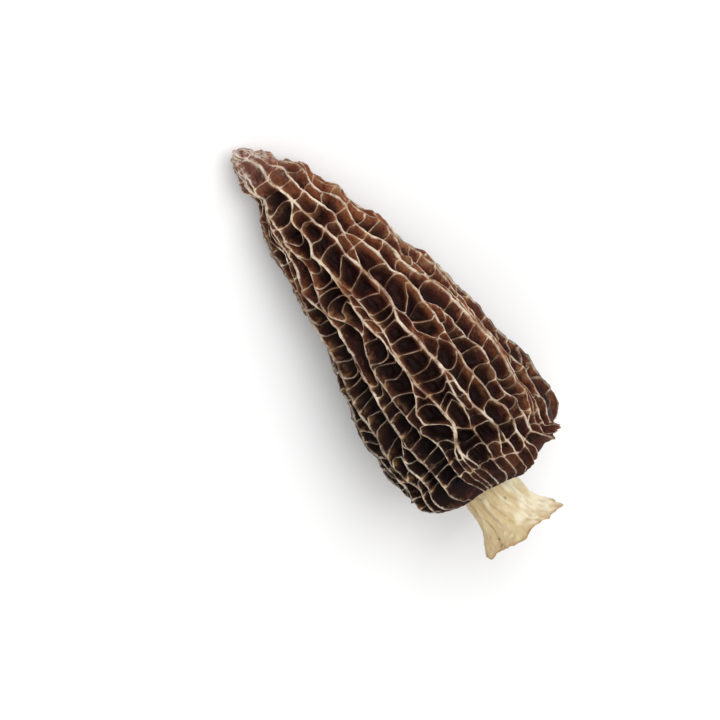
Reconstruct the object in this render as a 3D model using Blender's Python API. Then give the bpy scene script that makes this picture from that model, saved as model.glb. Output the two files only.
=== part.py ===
"""Dried black morel lying on its side: a ribbed conical cap and a short hollow stem, in metres, +Z up.

The tip points to -X and the cut end of the stem to +X. Lengths in the tables are drawing units of
UNIT_MM millimetres, read along the outline from the tip, and angles are degrees round the axis with
0 on the upper side and 90 towards +Y.
"""

import math

import bpy
import numpy as np

UNIT_MM = 0.1446
SEED = 41
VIEW_LEAN = math.radians(17.0)  # the tables are read with the tip leaning this far towards the eye
FLATNESS = 0.95  # height of a cross-section over its width
FLANK_SLOPE = 0.161  # rise of the axis over the flank that it lies on
FLANK_AT, FLANK_DEPTH = 370.0, 86.5
FLANK_SOFT_MM = 0.35
FOOT_CUT_MM = 0.13  # how far the lowest crests are worn flat
ORIGIN_X_MM = 34.7  # from the tip to the middle of the length
ORIGIN_Y_MM = 0.57

# seen distance from the tip, left edge, right edge
OUTLINE = [
    (-8, 0, 0), (-6.6, -4.8, 5.2), (-4, -7, 8.2), (0, -9, 12), (10, -11, 21), (20, -16, 28), (28, -17, 30), (33, -17, 40), (40, -14, 47),
    (50, -14, 48), (60, -22, 49), (70, -29, 50), (80, -33, 56), (100, -36, 61), (120, -40, 67),
    (140, -45, 72), (160, -48, 75), (180, -51, 78), (200, -55, 83), (220, -61, 87), (240, -68, 88),
    (260, -75, 89), (280, -80, 91), (300, -85, 92), (320, -87, 93), (340, -88, 94),
    (360, -90, 94), (376, -88, 92),
]
# true distance from the tip, half-width, middle: the edge that rolls under and the socket of the stem
UNDERSIDE = [
    (405, 85, 3), (413, 78, 3), (419, 67, 0), (421, 56, -5), (419, 45, -11), (413, 38, -15),
    (405, 33.5, -16), (399, 32, -16),
]
SOCKET_FLOOR = 398.0
# crest lines of the upper side in order: (seen distance from the tip, seen distance to the side)
SEEN_RIBS = {
    "edge_left": [(0, -9), (20, -14), (40, -12), (60, -21), (70, -28), (85, -33), (100, -35),
                  (120, -38), (140, -43), (160, -46.5), (167, -47.5), (187, -52), (201, -54.4),
                  (218, -57), (229, -61), (251, -73), (265, -77), (280, -79), (300, -84),
                  (307, -86), (317, -84), (335, -85.5), (352, -84), (372, -82), (384, -81.7),
                  (400, -80)],
    "left": [(0, -7), (40, -11), (60, -16), (70, -20), (81, -28.6), (95, -27.7), (103, -27),
             (107, -29), (115, -32), (130, -35), (140, -38.5), (150, -43.5), (160, -46),
             (187, -51.6), (201, -54), (221, -56.3), (238, -62), (257, -67), (265, -68),
             (286, -71), (300, -74), (315, -76.7), (340, -78), (352, -78), (365, -75.5),
             (372, -74), (384, -77), (400, -78)],
    "left_inner": [(0, -6), (40, -10.5), (60, -15.5), (75, -19), (81, -24), (95, -23), (103, -24.5),
                   (107, -26), (120, -29), (130, -30), (137, -32), (143, -35.5), (162, -35),
                   (179, -35), (196, -34.4), (212, -35.6), (226, -38), (234, -43), (246, -46),
                   (258, -46.5), (271, -48), (282, -49), (295, -52.4), (307, -53.6), (318, -55.5),
                   (328, -60.5), (336, -65), (344, -67.4), (360, -65.5), (375, -67), (390, -70),
                   (400, -70.5)],
    "left_fork": [(0, -5.8), (40, -10.3), (60, -15.3), (75, -18.5), (95, -22), (107, -25.5),
                  (130, -29.5), (143, -35), (179, -34.5), (212, -35), (226, -37.5), (246, -45.5),
                  (271, -47.5), (295, -52), (318, -55), (328, -57), (340, -55), (360, -51),
                  (380, -52), (400, -53)],
    "front_left": [(0, -5), (33, -8), (40, -10), (50, -13), (58, -15), (68, -15), (82, -15),
                   (90, -17), (95, -18.5), (105, -20), (113, -19.5), (121, -17.5), (134, -19),
                   (142, -21), (152, -23), (157, -26.7), (163, -30), (170, -33.5), (180, -32.5),
                   (190, -25.6), (201, -19.4), (213, -19), (227, -25.6), (242, -32), (257, -36),
                   (271, -35.5), (297, -37), (312, -37), (330, -35), (345, -31), (357, -30.5),
                   (374, -32.4), (390, -33), (405, -30)],
    "front_loop": [(0, -3), (8, 5), (22, 10), (44, 9), (66, 12), (72, 8.7), (78, 1.2), (85, -0.7),
                   (104, 1.2), (111, 1.2), (118, -3.2), (122, -5.2), (140, -3.2), (157, -4.6),
                   (177, -6.2), (196, -8.7), (205, -9.7), (225, -7.2), (240, -7.5), (260, -8),
                   (276, -9), (283, -11), (290, -15.5), (297, -18), (304, -23), (311, -26.7),
                   (325, -26.7), (330, -20), (335, -12), (342, -6), (352, -9.5), (360, -16),
                   (368, -21), (377, -24), (390, -24), (405, -23)],
    "front_edge": [(0, -2.8), (8, 5.2), (22, 10.2), (44, 9.2), (66, 12.2), (72, 9), (78, 1.4),
                   (85, -0.5), (104, 1.4), (111, 1.4), (118, -3), (122, -5), (140, -3), (157, -4.4),
                   (177, -6), (196, -8.5), (205, -9.4), (225, -7), (240, -7), (260, -7), (300, -7),
                   (315, -6), (340, -4), (350, -8.6), (360, -15.5), (370, -17.4), (381, -18.6),
                   (400, -18)],
    "front": [(0, -2.6), (8, 5.4), (22, 10.4), (44, 9.4), (66, 12.4), (72, 9.3), (78, 1.6),
              (85, -0.3), (104, 1.6), (111, 1.6), (118, -2.8), (122, -4.8), (140, -2.6), (157, -2),
              (168, -0.5), (184, 0.5), (201, 0.5), (218, 0), (234, -1.5), (240, -4), (260, -6),
              (300, -6), (315, -5), (327, -3.6), (340, -3), (350, -7.5), (360, -15), (370, -17),
              (377, -16), (390, -12), (406, -8.6)],
    "middle_fork": [(0, 0), (8, 5.8), (16, 9.3), (22, 10.8), (29, 8.8), (36, 9.8), (44, 9.5),
                    (53, 10.3), (59, 12), (66, 12.8), (77, 14.3), (89, 16.6), (98, 16.8),
                    (105, 19.8), (112, 21.5), (123, 22.8), (132, 20.8), (140, 19.2), (151, 21.8),
                    (161, 24), (179, 25.2), (190, 26.8), (201, 25.2), (212, 23.8), (218, 20.8),
                    (224, 18.8), (234, 19.2), (246, 21.8), (259, 21), (277, 21.6), (290, 22),
                    (300, 19.5), (310, 18), (320, 15), (332, 13), (344, 12), (356, 8), (366, 6.4),
                    (377, 7), (389, 6.4), (395, 4), (412, 4.5)],
    "middle_second": [(0, 0.2), (8, 6), (16, 9.5), (22, 11), (29, 9), (36, 10), (44, 9.7),
                      (53, 10.5), (59, 12.2), (66, 13), (77, 14.5), (89, 16.8), (98, 17),
                      (105, 20), (112, 21.7), (123, 23), (132, 21), (140, 19.4), (151, 22),
                      (161, 24.2), (179, 25.4), (190, 27), (201, 25.4), (212, 24), (218, 21),
                      (224, 19), (234, 19.4), (246, 22), (259, 21.2), (277, 21.8), (290, 22.6),
                      (300, 24.6), (315, 23.6), (325, 24.6), (334, 22.6), (346, 25.3), (359, 26.6),
                      (368, 27), (376, 23), (380, 20.7), (389, 14.5), (402, 15), (412, 14)],
    "middle": [(0, 0.4), (8, 6.2), (16, 9.7), (22, 11.2), (29, 9.2), (36, 10.2), (44, 9.9),
               (53, 10.7), (59, 12.4), (66, 13.2), (77, 14.7), (89, 17), (98, 17.2), (105, 20.2),
               (112, 21.9), (123, 23.2), (132, 21.2), (140, 19.6), (151, 22.2), (161, 24.4),
               (179, 25.6), (190, 27.2), (201, 25.6), (212, 24.2), (218, 21.2), (224, 19.2),
               (234, 19.6), (246, 22.2), (259, 21.4), (277, 22), (290, 23), (300, 25), (315, 24),
               (325, 25), (334, 23), (346, 25.7), (359, 27), (372, 28), (384, 28), (394, 25.7),
               (402, 24.5), (415, 23)],
    "right_cross": [(0, 7.8), (5, 11.7), (16, 17.4), (25, 18.7), (30.5, 23.7), (37, 26.5),
                    (44, 24.7), (62, 25.2), (66, 28.2), (70.5, 30.6), (77, 29.6), (83, 31.6),
                    (95, 34.6), (104, 36), (113, 34.4), (123, 34.4), (130, 32), (141, 32),
                    (150, 27.8), (157, 25.4), (163, 25), (179, 26), (190, 27.6), (201, 26.2),
                    (213, 25), (218, 26.5), (224, 29), (234, 27.8), (246, 27.3), (254, 31),
                    (261, 36), (269, 41), (276, 44.4), (287, 44), (302, 41.5), (315, 41),
                    (326, 43.5), (335, 42.2), (345, 42.6), (356, 45.2), (371, 44), (384, 41),
                    (392, 39.5), (402, 37), (412, 34.5)],
    "right": [(0, 8), (5, 12), (16, 17.7), (25, 19), (30.5, 24), (37, 26.8), (44, 25), (62, 25.5),
              (66, 28.6), (70.5, 31), (77, 30), (83, 32), (95, 35), (104, 36.5), (113, 34.8),
              (123, 35), (132, 40), (139, 43), (148, 43), (162, 45.5), (174, 46), (184, 47.8),
              (192, 52), (201, 54), (215, 54), (225, 50.5), (240, 50.5), (259, 50), (269, 47.6),
              (276, 45), (287, 44.5), (302, 42), (315, 41.4), (326, 44), (335, 42.6), (345, 43),
              (356, 45.7), (371, 44.5), (384, 41.4), (396, 42), (406, 45)],
    "right_fork": [(0, 8.2), (5, 12.2), (16, 17.9), (25, 19.2), (30.5, 24.2), (37, 27), (44, 25.2),
                   (62, 25.7), (66, 28.8), (70.5, 31.2), (77, 30.2), (83, 32.2), (95, 35.2),
                   (104, 36.7), (113, 35), (123, 35.2), (132, 40.2), (139, 43.2), (148, 43.2),
                   (162, 45.7), (174, 46.2), (184, 48), (192, 52.2), (201, 54.2), (215, 54.2),
                   (225, 51), (228, 52), (238, 56.7), (248, 60), (260, 60.6), (277, 61.4),
                   (296, 64.5), (306, 64.5), (315, 62), (324, 62), (332, 58), (346, 56.4),
                   (357, 59.5), (371, 56.4), (384, 54.5), (396, 52.6), (409, 48)],
    "right_outer": [(0, 9), (10, 15), (20, 24), (26, 28.5), (30, 33), (37, 38.6), (44, 39.5),
                    (55, 39.5), (63, 41), (75, 42), (82, 47.7), (90, 51), (98, 52), (105, 51),
                    (129, 50), (141, 53), (152, 56.7), (165, 58), (176, 58.5), (184, 60.5),
                    (193, 63), (205, 67.8), (218, 70), (232, 71), (245, 74), (259, 76.4),
                    (277, 78), (315, 78), (327, 77), (340, 74.5), (352, 73), (365, 67), (375, 60),
                    (384, 56), (396, 53.5), (409, 49)],
    "right_rim": [(0, 9.2), (10, 15.2), (20, 24.3), (26, 28.8), (30, 33.4), (37, 39), (55, 40),
                  (63, 41.4), (75, 42.5), (82, 48.2), (90, 51.5), (98, 52.5), (129, 50.5),
                  (141, 53.5), (152, 57.2), (165, 58.5), (176, 59), (184, 61), (193, 63.5),
                  (205, 68.3), (218, 70.6), (232, 71.6), (245, 74.6), (259, 77), (277, 78.6),
                  (315, 78.6), (327, 77.6), (340, 75.2), (352, 74), (365, 70), (372, 66.5),
                  (379, 63), (392, 62), (400, 60), (409, 56)],
    "right_loop": [(0, 10), (20, 25.5), (26, 29.4), (30, 36), (37, 44), (50, 46), (63, 47),
                   (75, 49), (80, 53), (84, 57), (95, 56), (110, 58.5), (122, 61), (134, 66.7),
                   (146, 70), (158, 71), (166, 67.8), (176, 61.5), (180, 64.5), (184, 67.4),
                   (196, 69), (203, 70), (206, 69.8), (218, 72), (245, 77), (260, 79.5),
                   (277, 80.5), (315, 80), (327, 79.5), (340, 77), (352, 76), (365, 73),
                   (378, 70), (392, 66), (409, 60)],
    "far_right": [(0, 10.6), (20, 27), (28, 29.8), (35, 42), (44, 47), (60, 48.4), (75, 50.5),
                  (82, 57.5), (100, 59.8), (122, 65), (146, 71.5), (170, 75), (190, 78),
                  (215, 84), (227, 82.5), (240, 81), (259, 82.5), (296, 83), (310, 83),
                  (320, 84.5), (332, 87), (340, 88), (347, 86), (359, 83.5), (367, 81.5),
                  (380, 80), (394, 71), (409, 63)],
}
# crest lines of the under side in order: (seen distance from the tip, degrees)
UNDER_RIBS = {
    "under_a": [(0, 98), (60, 100), (120, 96), (180, 94), (240, 93), (300, 95), (360, 96),
                (405, 95)],
    "under_b": [(0, 111), (60, 107), (125, 107), (180, 113), (240, 112), (300, 113), (360, 112),
                (405, 110)],
    "under_c": [(0, 140), (60, 136), (120, 132), (180, 133), (240, 134), (300, 134), (360, 129),
                (405, 127)],
    "under_d": [(0, 141), (60, 137), (120, 133), (200, 134.5), (240, 140), (300, 150), (360, 145),
                (405, 142)],
    "under_e": [(0, 165), (60, 160), (120, 158), (180, 156), (240, 161), (300, 166), (360, 161),
                (405, 157)],
    "under_f": [(0, 190), (60, 186), (120, 184), (180, 178), (240, 178), (300, 181), (360, 177),
                (405, 173)],
    "under_g": [(0, 191), (60, 187), (115, 185), (180, 199), (240, 196), (300, 196), (360, 193),
                (405, 189)],
    "under_h": [(0, 218), (60, 213), (120, 211), (180, 218), (240, 213), (300, 211), (360, 208),
                (405, 205)],
    "under_i": [(0, 219), (60, 214), (120, 212), (180, 219), (220, 216), (260, 226), (300, 228),
                (360, 223), (405, 220)],
    "under_j": [(0, 240), (60, 236), (120, 237), (180, 238), (240, 241), (300, 244), (360, 239),
                (405, 236)],
    "under_k": [(0, 262), (60, 258), (120, 261), (180, 256), (240, 252), (300, 257), (360, 253),
                (405, 250)],
}
GAP_LEAST = 0.7  # degrees that merged ribs keep between them
# walls across the gap right of a rib: (seen distance at the left, at the right, sag in the middle)
WALLS = {
    "left": [(112, 112, 0), (128, 126, 0), (167, 145, 0), (178, 181, 0), (190, 195.5, 0),
             (204, 210, 0), (218, 221, 4), (234, 234, 6), (246, 243, 0), (258, 256, 0),
             (271, 266, 0), (279, 284, 0), (297, 294, 0), (321, 312, 0), (328, 336, 0),
             (349, 347, 3), (365, 364, 0), (380, 380, 0)],
    "left_inner": [(345, 348, 0), (365, 365, 0), (383, 382, 0)],
    "left_fork": [(106, 97, 0), (143, 141, 0), (161, 160, 0), (257.5, 258.5, 3), (271, 270, 2),
                  (283, 283, 0), (299, 298, -2), (319, 315, 3), (335, 333, 0), (354, 352, 0),
                  (375, 374, 0), (392, 390, 0)],
    "front_left": [(65, 62, -2), (81, 82, 0), (95, 102, 9), (114, 120, 6), (137, 136, 2),
                   (153, 152, 0), (157, 164, -2), (170, 172, -3), (190, 175, 0), (214, 203, 0),
                   (221, 227, 0), (241, 243, 5), (243, 257, 0), (258, 264, 7), (280, 291, 0),
                   (306, 302, 0), (323, 326, 0), (348, 360, 0), (375, 372, 0), (392, 390, 0)],
    "front_loop": [(308, 316, -3), (378, 377, 2)],
    "front": [(40, 42, 0), (66, 64, 0), (78, 76, 0), (91, 91, -3), (112, 110, 4), (130, 124, -1),
              (159, 134, 2), (173, 165, 0), (185, 195, -2), (205, 207, 1), (214, 213, 3),
              (223, 222, 0), (240, 245, -2), (252, 263, 0), (276, 273, 4), (285, 294, 3),
              (301, 299, 7), (319, 309, 0), (327, 317, 0), (347, 356, 0), (375, 373, 0),
              (392, 390, 2)],
    "middle_fork": [(335, 335, 3), (357, 355, 0), (380, 378, 0), (395, 396, 0)],
    "middle_second": [(382, 382, 0), (395, 396, 0)],
    "middle": [(27, 31, 0), (49, 45, 3), (70, 73, -3), (86, 85, 3), (104, 111, 0), (123, 122, 0),
               (140, 141, 0), (279, 266, -2), (292, 287, 6), (326, 315, -2), (346, 341, -2),
               (362, 371, 0), (381, 381, 0), (397, 397, 0)],
    "right_cross": [(141, 140, 0), (168, 172, -1), (194, 187, -1), (226, 196, 2), (228, 247, 0),
                    (262, 262, 0)],
    "right": [(254, 256, 0), (272, 278, 0), (290, 292, 0), (310, 313, -2), (331, 330, 0),
              (346, 350, 2), (371, 378, 0), (394, 394, 0)],
    "right_fork": [(40, 42, 0), (62, 64, 0), (83, 84, 0), (104, 106, 0), (122, 124, 0),
                   (138, 138, 3), (160, 158, 0), (191, 176, 0), (215, 210, 0), (243, 243, 2),
                   (264, 262, -1), (283, 276, 0), (298, 294, 0), (325, 335, 2), (350, 356, 0),
                   (370, 372, 0)],
    "right_rim": [(48, 56, 0), (66, 62, 0), (84, 80, 0), (104, 104, 0), (124, 126, 0),
                  (138, 136, 0), (154, 153, 0), (190, 192, 0)],
}
# knobs of the crests: seen distance, degrees, reach in drawing units, height in mm
KNOBS = [
    (-4, 10, 6, 0.30), (8, -70, 6, 0.35), (28, -78, 9, 0.35), (14, 72, 8, 0.35), (42, 78, 9, 0.5),
    (82, 78, 6, 1.15), (60, -80, 7, 0.3), (30, 20, 6, 0.3), (24, -20, 6, 0.25), (50, 60, 7, 0.3),
    (128, -84, 9, 0.4), (225, 84, 12, 0.3), (300, 200, 14, 0.2), (52, 170, 8, 0.4),
    (36, 130, 8, 0.5), (20, 220, 7, 0.4),
]

OUTLINE_SOFT, MIDDLE_SOFT = 1.8, 3.0  # how far the corners of the outline are rounded
SEEN_RIB_SOFT, UNDER_RIB_SOFT = 1.6, 4.0
VIEW_TURNS = 14  # rounds in which a seen place and its true distance settle
RIM_TILT = 9.0  # how much further down the rim reaches on the +Y side
RIM_TILT_FROM = 300.0
RIM_WIDTH = 85.0
RIM = 448.0  # length along the outline at which the rolled edge turns under
STEP = 0.5  # spacing of the outline's points

SLOTS = 23  # cross walls of a gap
SLOT_FIRST, SLOT_LAST = 16.0, 412.0
SLOT_LEAST = 6.5  # length that neighbouring walls keep between them
SEEN_HEIGHT = (0.7, 0.94)  # height of the walls read from the view, over that of the ribs
FOLD_HEIGHT = 0.15  # height of the folds in slots between those walls
WALL_SADDLE = 0.125  # how much lower a wall is midway
# walls that no view gives: shift of a gap, jitter and slant of a wall, sag and heights
FREE_SHIFT, FREE_JITTER, FREE_SLANT = 6.0, 3.5, 6.0
FREE_SAG = (-1.0, 6.0)
FREE_HEIGHTS = [0.0, 0.35, 0.7, 0.8, 0.85, 0.9]

PIT_DEPTH_MM = 2.7
PIT_WIDTH_MM = 2.6  # a gap of this width reaches the full depth
PIT_DEEPEST, PIT_POWER = 1.15, 0.8
CREST_SHARE, CREST_NARROW_MM, CREST_WIDE_MM = 0.65, 0.32, 0.9
TIP_FADE, TIP_RELIEF = 95.0, 0.18  # the relief grows over this length from this share at the tip
TIP_RADIUS_MM = 1.2
RELIEF_END, RIM_FADE = 474.0, 40.0
RIB_WAVE_MM = 0.2
RIB_WAVES = (23.0, 37.0, 59.0)
LUMP_MM = 0.28
LUMP_FROM, LUMP_TO, LUMP_FADE = 30.0, 455.0, 50.0
KNOB_RADIUS = 6.0

COLUMNS_SEEN = 4  # columns of faces across each gap of the upper side
COLUMNS_UNDER = 3
COLUMN_SQUEEZE = 0.45  # how much they crowd towards the ribs
ROW_REACH_MM = 0.55  # arc over which the walls of two gaps bend to meet
TIP_CALM, TIP_CALM_AT = 3.0, 200.0  # the arc widens by this towards the tip
ROWS_PER_SLOT = 2
ROWS_BELOW = 6
FIRST_ROW = 5.0

CAP_COLOR, CAP_ROUGHNESS = (0.09, 0.055, 0.04), 0.7
STEM_COLOR, STEM_ROUGHNESS = (0.78, 0.68, 0.5), 0.6
GROUND_SIZE_M, GROUND_DEPTH_M = 0.2, 0.02

# true distance from the tip, radius and middle of the stem
STEM = [
    (402.5, 28.5, -16), (412, 29, -16), (428, 28.6, -16), (444, 29, -17), (455, 30, -18),
    (464, 32.5, -18.5), (473, 37, -19), (481, 43, -18), (486, 48, -17),
]
STEM_WALL_MM = 0.85
STEM_LIP_MM = 0.42
STEM_AROUND = 48
STEM_ALONG = 17


def clear_scene():
    """Removes every object that is in the scene."""
    for item in list(bpy.data.objects):
        bpy.data.objects.remove(item, do_unlink=True)


def bell_mean(line, width):
    """Running mean weighed by exp(-d^2 / (2 width^2)), keeping both ends where they are."""
    reach = max(1, int(3 * width / STEP))
    bell = np.exp(-0.5 * (np.arange(-reach, reach + 1) * STEP / width) ** 2)
    bell /= bell.sum()
    ends = (2 * line[0] - line[reach:0:-1], line, 2 * line[-1] - line[-2:-reach - 2:-1])
    return np.convolve(np.concatenate(ends), bell, "valid")


def seat_in_order(places, slots):
    """Gives sorted places each a slot of its own, in order, with the least squared shift in all."""
    walls, count = len(places), len(slots)
    best = np.full((walls + 1, count + 1), np.inf)
    best[0] = 0.0
    for i in range(1, walls + 1):
        for j in range(i, count + 1):
            shift = (places[i - 1] - slots[j - 1]) ** 2
            best[i, j] = min(best[i, j - 1], best[i - 1, j - 1] + shift)
    seats, j = [], count
    for i in range(walls, 0, -1):
        while best[i, j] == best[i, j - 1]:
            j -= 1
        seats.append(j - 1)
        j -= 1
    return np.array(seats[::-1])


def rising(lines, least):
    """Rows that grow by at least that much from each one to the next."""
    floor = np.arange(len(lines))[:, None] * least
    return np.maximum.accumulate(lines - floor, axis=0) + floor


def crest(x):
    """Height of a rib or wall, from 0 to 1, at x mm from its middle."""
    narrow = CREST_SHARE * np.exp(-((x / CREST_NARROW_MM) ** 2))
    return narrow + (1.0 - CREST_SHARE) * np.exp(-((x / CREST_WIDE_MM) ** 2))


class Cap:
    """Outline, rib crests and cross walls of the cap, by length along the outline."""

    def __init__(self):
        self.random = np.random.default_rng(SEED)
        self.names = list(SEEN_RIBS) + list(UNDER_RIBS)
        self.trace_outline()
        self.top = int(np.argmax(self.along))
        lines = [self.seen_rib(points) for points in SEEN_RIBS.values()]
        lines += [self.under_rib(points) for points in UNDER_RIBS.values()]
        self.ribs = np.array(lines)
        self.separate_ribs()
        self.set_walls()

    def trace_outline(self):
        """Evenly spaced outline from the tip over the rolled edge to the socket."""
        lean = math.cos(VIEW_LEAN)
        points = [(s / lean, (b - a) / 2, (a + b) / 2) for s, a, b in OUTLINE]
        points = np.array(points + [tuple(map(float, p)) for p in UNDERSIDE])
        steps = np.hypot(np.diff(points[:, 0]), np.diff(points[:, 1]))
        run = np.concatenate(([0.0], np.cumsum(steps)))
        self.run = np.arange(0.0, run[-1] + STEP, STEP)
        along, half_width, middle = (np.interp(self.run, run, column) for column in points.T)
        self.along = bell_mean(along, OUTLINE_SOFT)
        self.half_width = np.maximum(bell_mean(half_width, OUTLINE_SOFT), 0.0)
        self.middle = bell_mean(middle, MIDDLE_SOFT)

    def end_of(self, seen, rib):
        """Length along the outline at which a rib is seen at a distance from the tip.

        seen = along * cos(lean) + half_width * cos(angle) * flatness * sin(lean)
        """
        lift = self.half_width * np.cos(np.radians(self.ribs[rib])) * FLATNESS * math.sin(VIEW_LEAN)
        shown = self.along * math.cos(VIEW_LEAN) + np.maximum(lift, 0.0)
        shown = np.maximum.accumulate(shown[: self.top]) + np.arange(self.top) * 1e-6
        return np.interp(seen, shown, self.run[: self.top])

    def seen_rib(self, points):
        """Crest line in degrees from places seen in the picture plane.

        The side is middle + half_width * sin(angle), read where the surface really lies, which
        is found by going back and forth between the angle and the true distance.
        """
        seen, side = np.array(points, float).T
        true = seen / math.cos(VIEW_LEAN)
        along = self.along[: self.top]
        for _ in range(VIEW_TURNS):
            width = np.maximum(np.interp(true, along, self.half_width[: self.top]), 1.0)
            middle = np.interp(true, along, self.middle[: self.top])
            sine = np.clip((side - middle) / width, -1.0, 1.0)
            lift = width * np.sqrt(1.0 - sine**2) * FLATNESS * math.sin(VIEW_LEAN)
            true = 0.5 * true + 0.5 * (seen - lift) / math.cos(VIEW_LEAN)
        at = np.interp(true, along, self.run[: self.top])
        return self.rounded(at, np.degrees(np.arcsin(sine)), SEEN_RIB_SOFT)

    def under_rib(self, points):
        """Crest line in degrees from distances and angles, wavy by a few tenths of a millimetre."""
        seen, degrees = np.array(points, float).T
        at = np.interp(seen / math.cos(VIEW_LEAN), self.along[: self.top], self.run[: self.top])
        line = self.rounded(at, degrees, UNDER_RIB_SOFT)
        wave = np.zeros_like(line)
        for length in RIB_WAVES:
            phase = self.random.uniform(0, 2 * math.pi)
            wave += np.sin(2 * math.pi * self.run / length + phase)
        arc = np.maximum(self.half_width, 14.0) * UNIT_MM
        fade = np.clip((self.run - 20.0) / 60.0, 0.0, 1.0)
        return line + np.degrees(RIB_WAVE_MM * wave / arc) * fade

    def rounded(self, at, degrees, width):
        """Line through points, at every step of the outline, with its corners rounded."""
        at = np.maximum.accumulate(at) + np.arange(len(at)) * 1e-6
        line = np.interp(self.run, at, degrees)
        reach = int(4 * width / STEP)
        bell = np.exp(-0.5 * (np.arange(-reach, reach + 1) * STEP / width) ** 2)
        return np.convolve(np.pad(line, reach, mode="edge"), bell / bell.sum(), "valid")

    def separate_ribs(self):
        """Keeps the ribs in order with at least GAP_LEAST between neighbours."""
        for _ in range(80):
            after = np.roll(self.ribs, -1, axis=0)
            after[-1] += 360.0
            short = np.maximum(GAP_LEAST - (after - self.ribs), 0.0) / 2
            self.ribs -= short
            self.ribs += np.roll(short, 1, axis=0)

    def set_walls(self):
        """Both ends, sag and height of every cross wall, by gap and slot."""
        count = len(self.names)
        even = np.linspace(SLOT_FIRST, SLOT_LAST, SLOTS)
        base = even + self.random.uniform(-FREE_SHIFT, FREE_SHIFT, (count, 1))
        base = base + self.random.uniform(-FREE_JITTER, FREE_JITTER, (count, SLOTS))
        slant = self.random.uniform(-FREE_SLANT, FREE_SLANT, (count, SLOTS))
        self.left, self.right = base - slant, base + slant
        self.sag = self.random.uniform(*FREE_SAG, (count, SLOTS))
        self.height = self.random.choice(FREE_HEIGHTS, (count, SLOTS))
        for gap, name in enumerate(self.names):
            if name in WALLS:
                self.place_walls(gap, np.array(WALLS[name], float), even)
        self.left = rising(np.sort(self.left, axis=1).T, SLOT_LEAST).T
        self.right = rising(np.sort(self.right, axis=1).T, SLOT_LEAST).T

    def place_walls(self, gap, table, even):
        """Seats the walls that are read from the view, with faint folds in the slots left over."""
        first = self.end_of(table[:, 0], gap)
        last = self.end_of(table[:, 1], (gap + 1) % len(self.names))
        seats = seat_in_order((first + last) / 2, even)
        places = np.concatenate(([-1], seats, [SLOTS]))
        for ends, read in ((self.left, first), (self.right, last)):
            known = np.concatenate(([FIRST_ROW], read, [SLOT_LAST + SLOT_FIRST]))
            ends[gap] = np.interp(np.arange(SLOTS), places, known)
        inside = (np.arange(SLOTS) >= seats[0]) & (np.arange(SLOTS) <= seats[-1])
        self.height[gap, inside] = FOLD_HEIGHT
        self.height[gap, seats] = self.random.uniform(*SEEN_HEIGHT, len(seats))
        self.sag[gap, seats] = table[:, 2]

    def wall_rows(self, gap, share):
        """Length along the outline of every wall at every column.

        A wall runs straight from rib to rib and sags by sag * 4 t (1 - t). Where walls of two gaps
        meet at a rib, both bend to their mean, weighed by exp(-d^2 / (2 reach^2)) over the arc.
        """
        bend = 4.0 * share * (1.0 - share)
        lines = self.left[gap] + (self.right - self.left)[gap] * share[:, None]
        lines = (lines + self.sag[gap] * bend[:, None]).T
        smooth = np.empty_like(lines)
        for slot, line in enumerate(lines):
            degrees = self.angles(line[None], gap, share)[0]
            radius = np.maximum(np.interp(line, self.run, self.half_width) * UNIT_MM, TIP_RADIUS_MM)
            calm = 1.0 + TIP_CALM * np.clip((TIP_CALM_AT - line) / TIP_CALM_AT, 0.0, 1.0)
            reach = np.degrees(ROW_REACH_MM * calm / radius)
            apart = np.abs(degrees[:, None] - degrees[None])
            apart = np.minimum(apart, 360.0 - apart)
            ahead = np.append(degrees[1:], degrees[0] + 360.0)
            behind = np.insert(degrees[:-1], 0, degrees[-1] - 360.0)
            weight = np.exp(-0.5 * (apart / reach[:, None]) ** 2) * np.maximum(ahead - behind, 0.02)
            smooth[slot] = weight @ line / weight.sum(axis=1)
        return np.minimum(rising(smooth, SLOT_LEAST), RIM - SLOT_LEAST)

    def angles(self, at, gap, share):
        """Angle in degrees of every grid point: share of the way from rib to rib."""
        ribs = np.concatenate((self.ribs, self.ribs[:1] + 360.0))
        left, right = (
            np.stack([np.interp(at[:, c], self.run, ribs[g]) for c, g in enumerate(which)], axis=1)
            for which in (gap, gap + 1)
        )
        return left + (right - left) * share

    def depth(self, at, walls, gap, share):
        """Depth in mm under the crests: bowl(left) * bowl(right) * (1 - wall height * bump).

        bowl(x) = 1 - crest(x) at x mm from a rib, and bump(y) = crest(y) at y mm from a wall, with
        crest(x) = share * exp(-(x / narrow)^2) + (1 - share) * exp(-(x / wide)^2).
        """
        left = self.angles(at, gap, 0.0 * share)
        width = self.angles(at, gap, 0.0 * share + 1.0) - left
        width = np.radians(width) * np.interp(at, self.run, self.half_width) * UNIT_MM
        bowls = 1.0
        for x in (width * share, width * (1.0 - share)):
            bowls = bowls * (1.0 - crest(x))
        wall = np.zeros_like(at)
        for slot in range(SLOTS):
            saddle = self.height[gap, slot] * (1.0 - WALL_SADDLE * 4.0 * share * (1.0 - share))
            wall = np.maximum(wall, crest((at - walls[slot]) * UNIT_MM) * saddle)
        full = PIT_DEPTH_MM * np.clip(width / PIT_WIDTH_MM, 0.0, PIT_DEEPEST) ** PIT_POWER
        fade = np.clip(at / TIP_FADE, TIP_RELIEF, 1.0) * np.clip((RELIEF_END - at) / RIM_FADE, 0.0, 1.0)
        return full * fade * bowls * (1.0 - wall)

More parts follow.
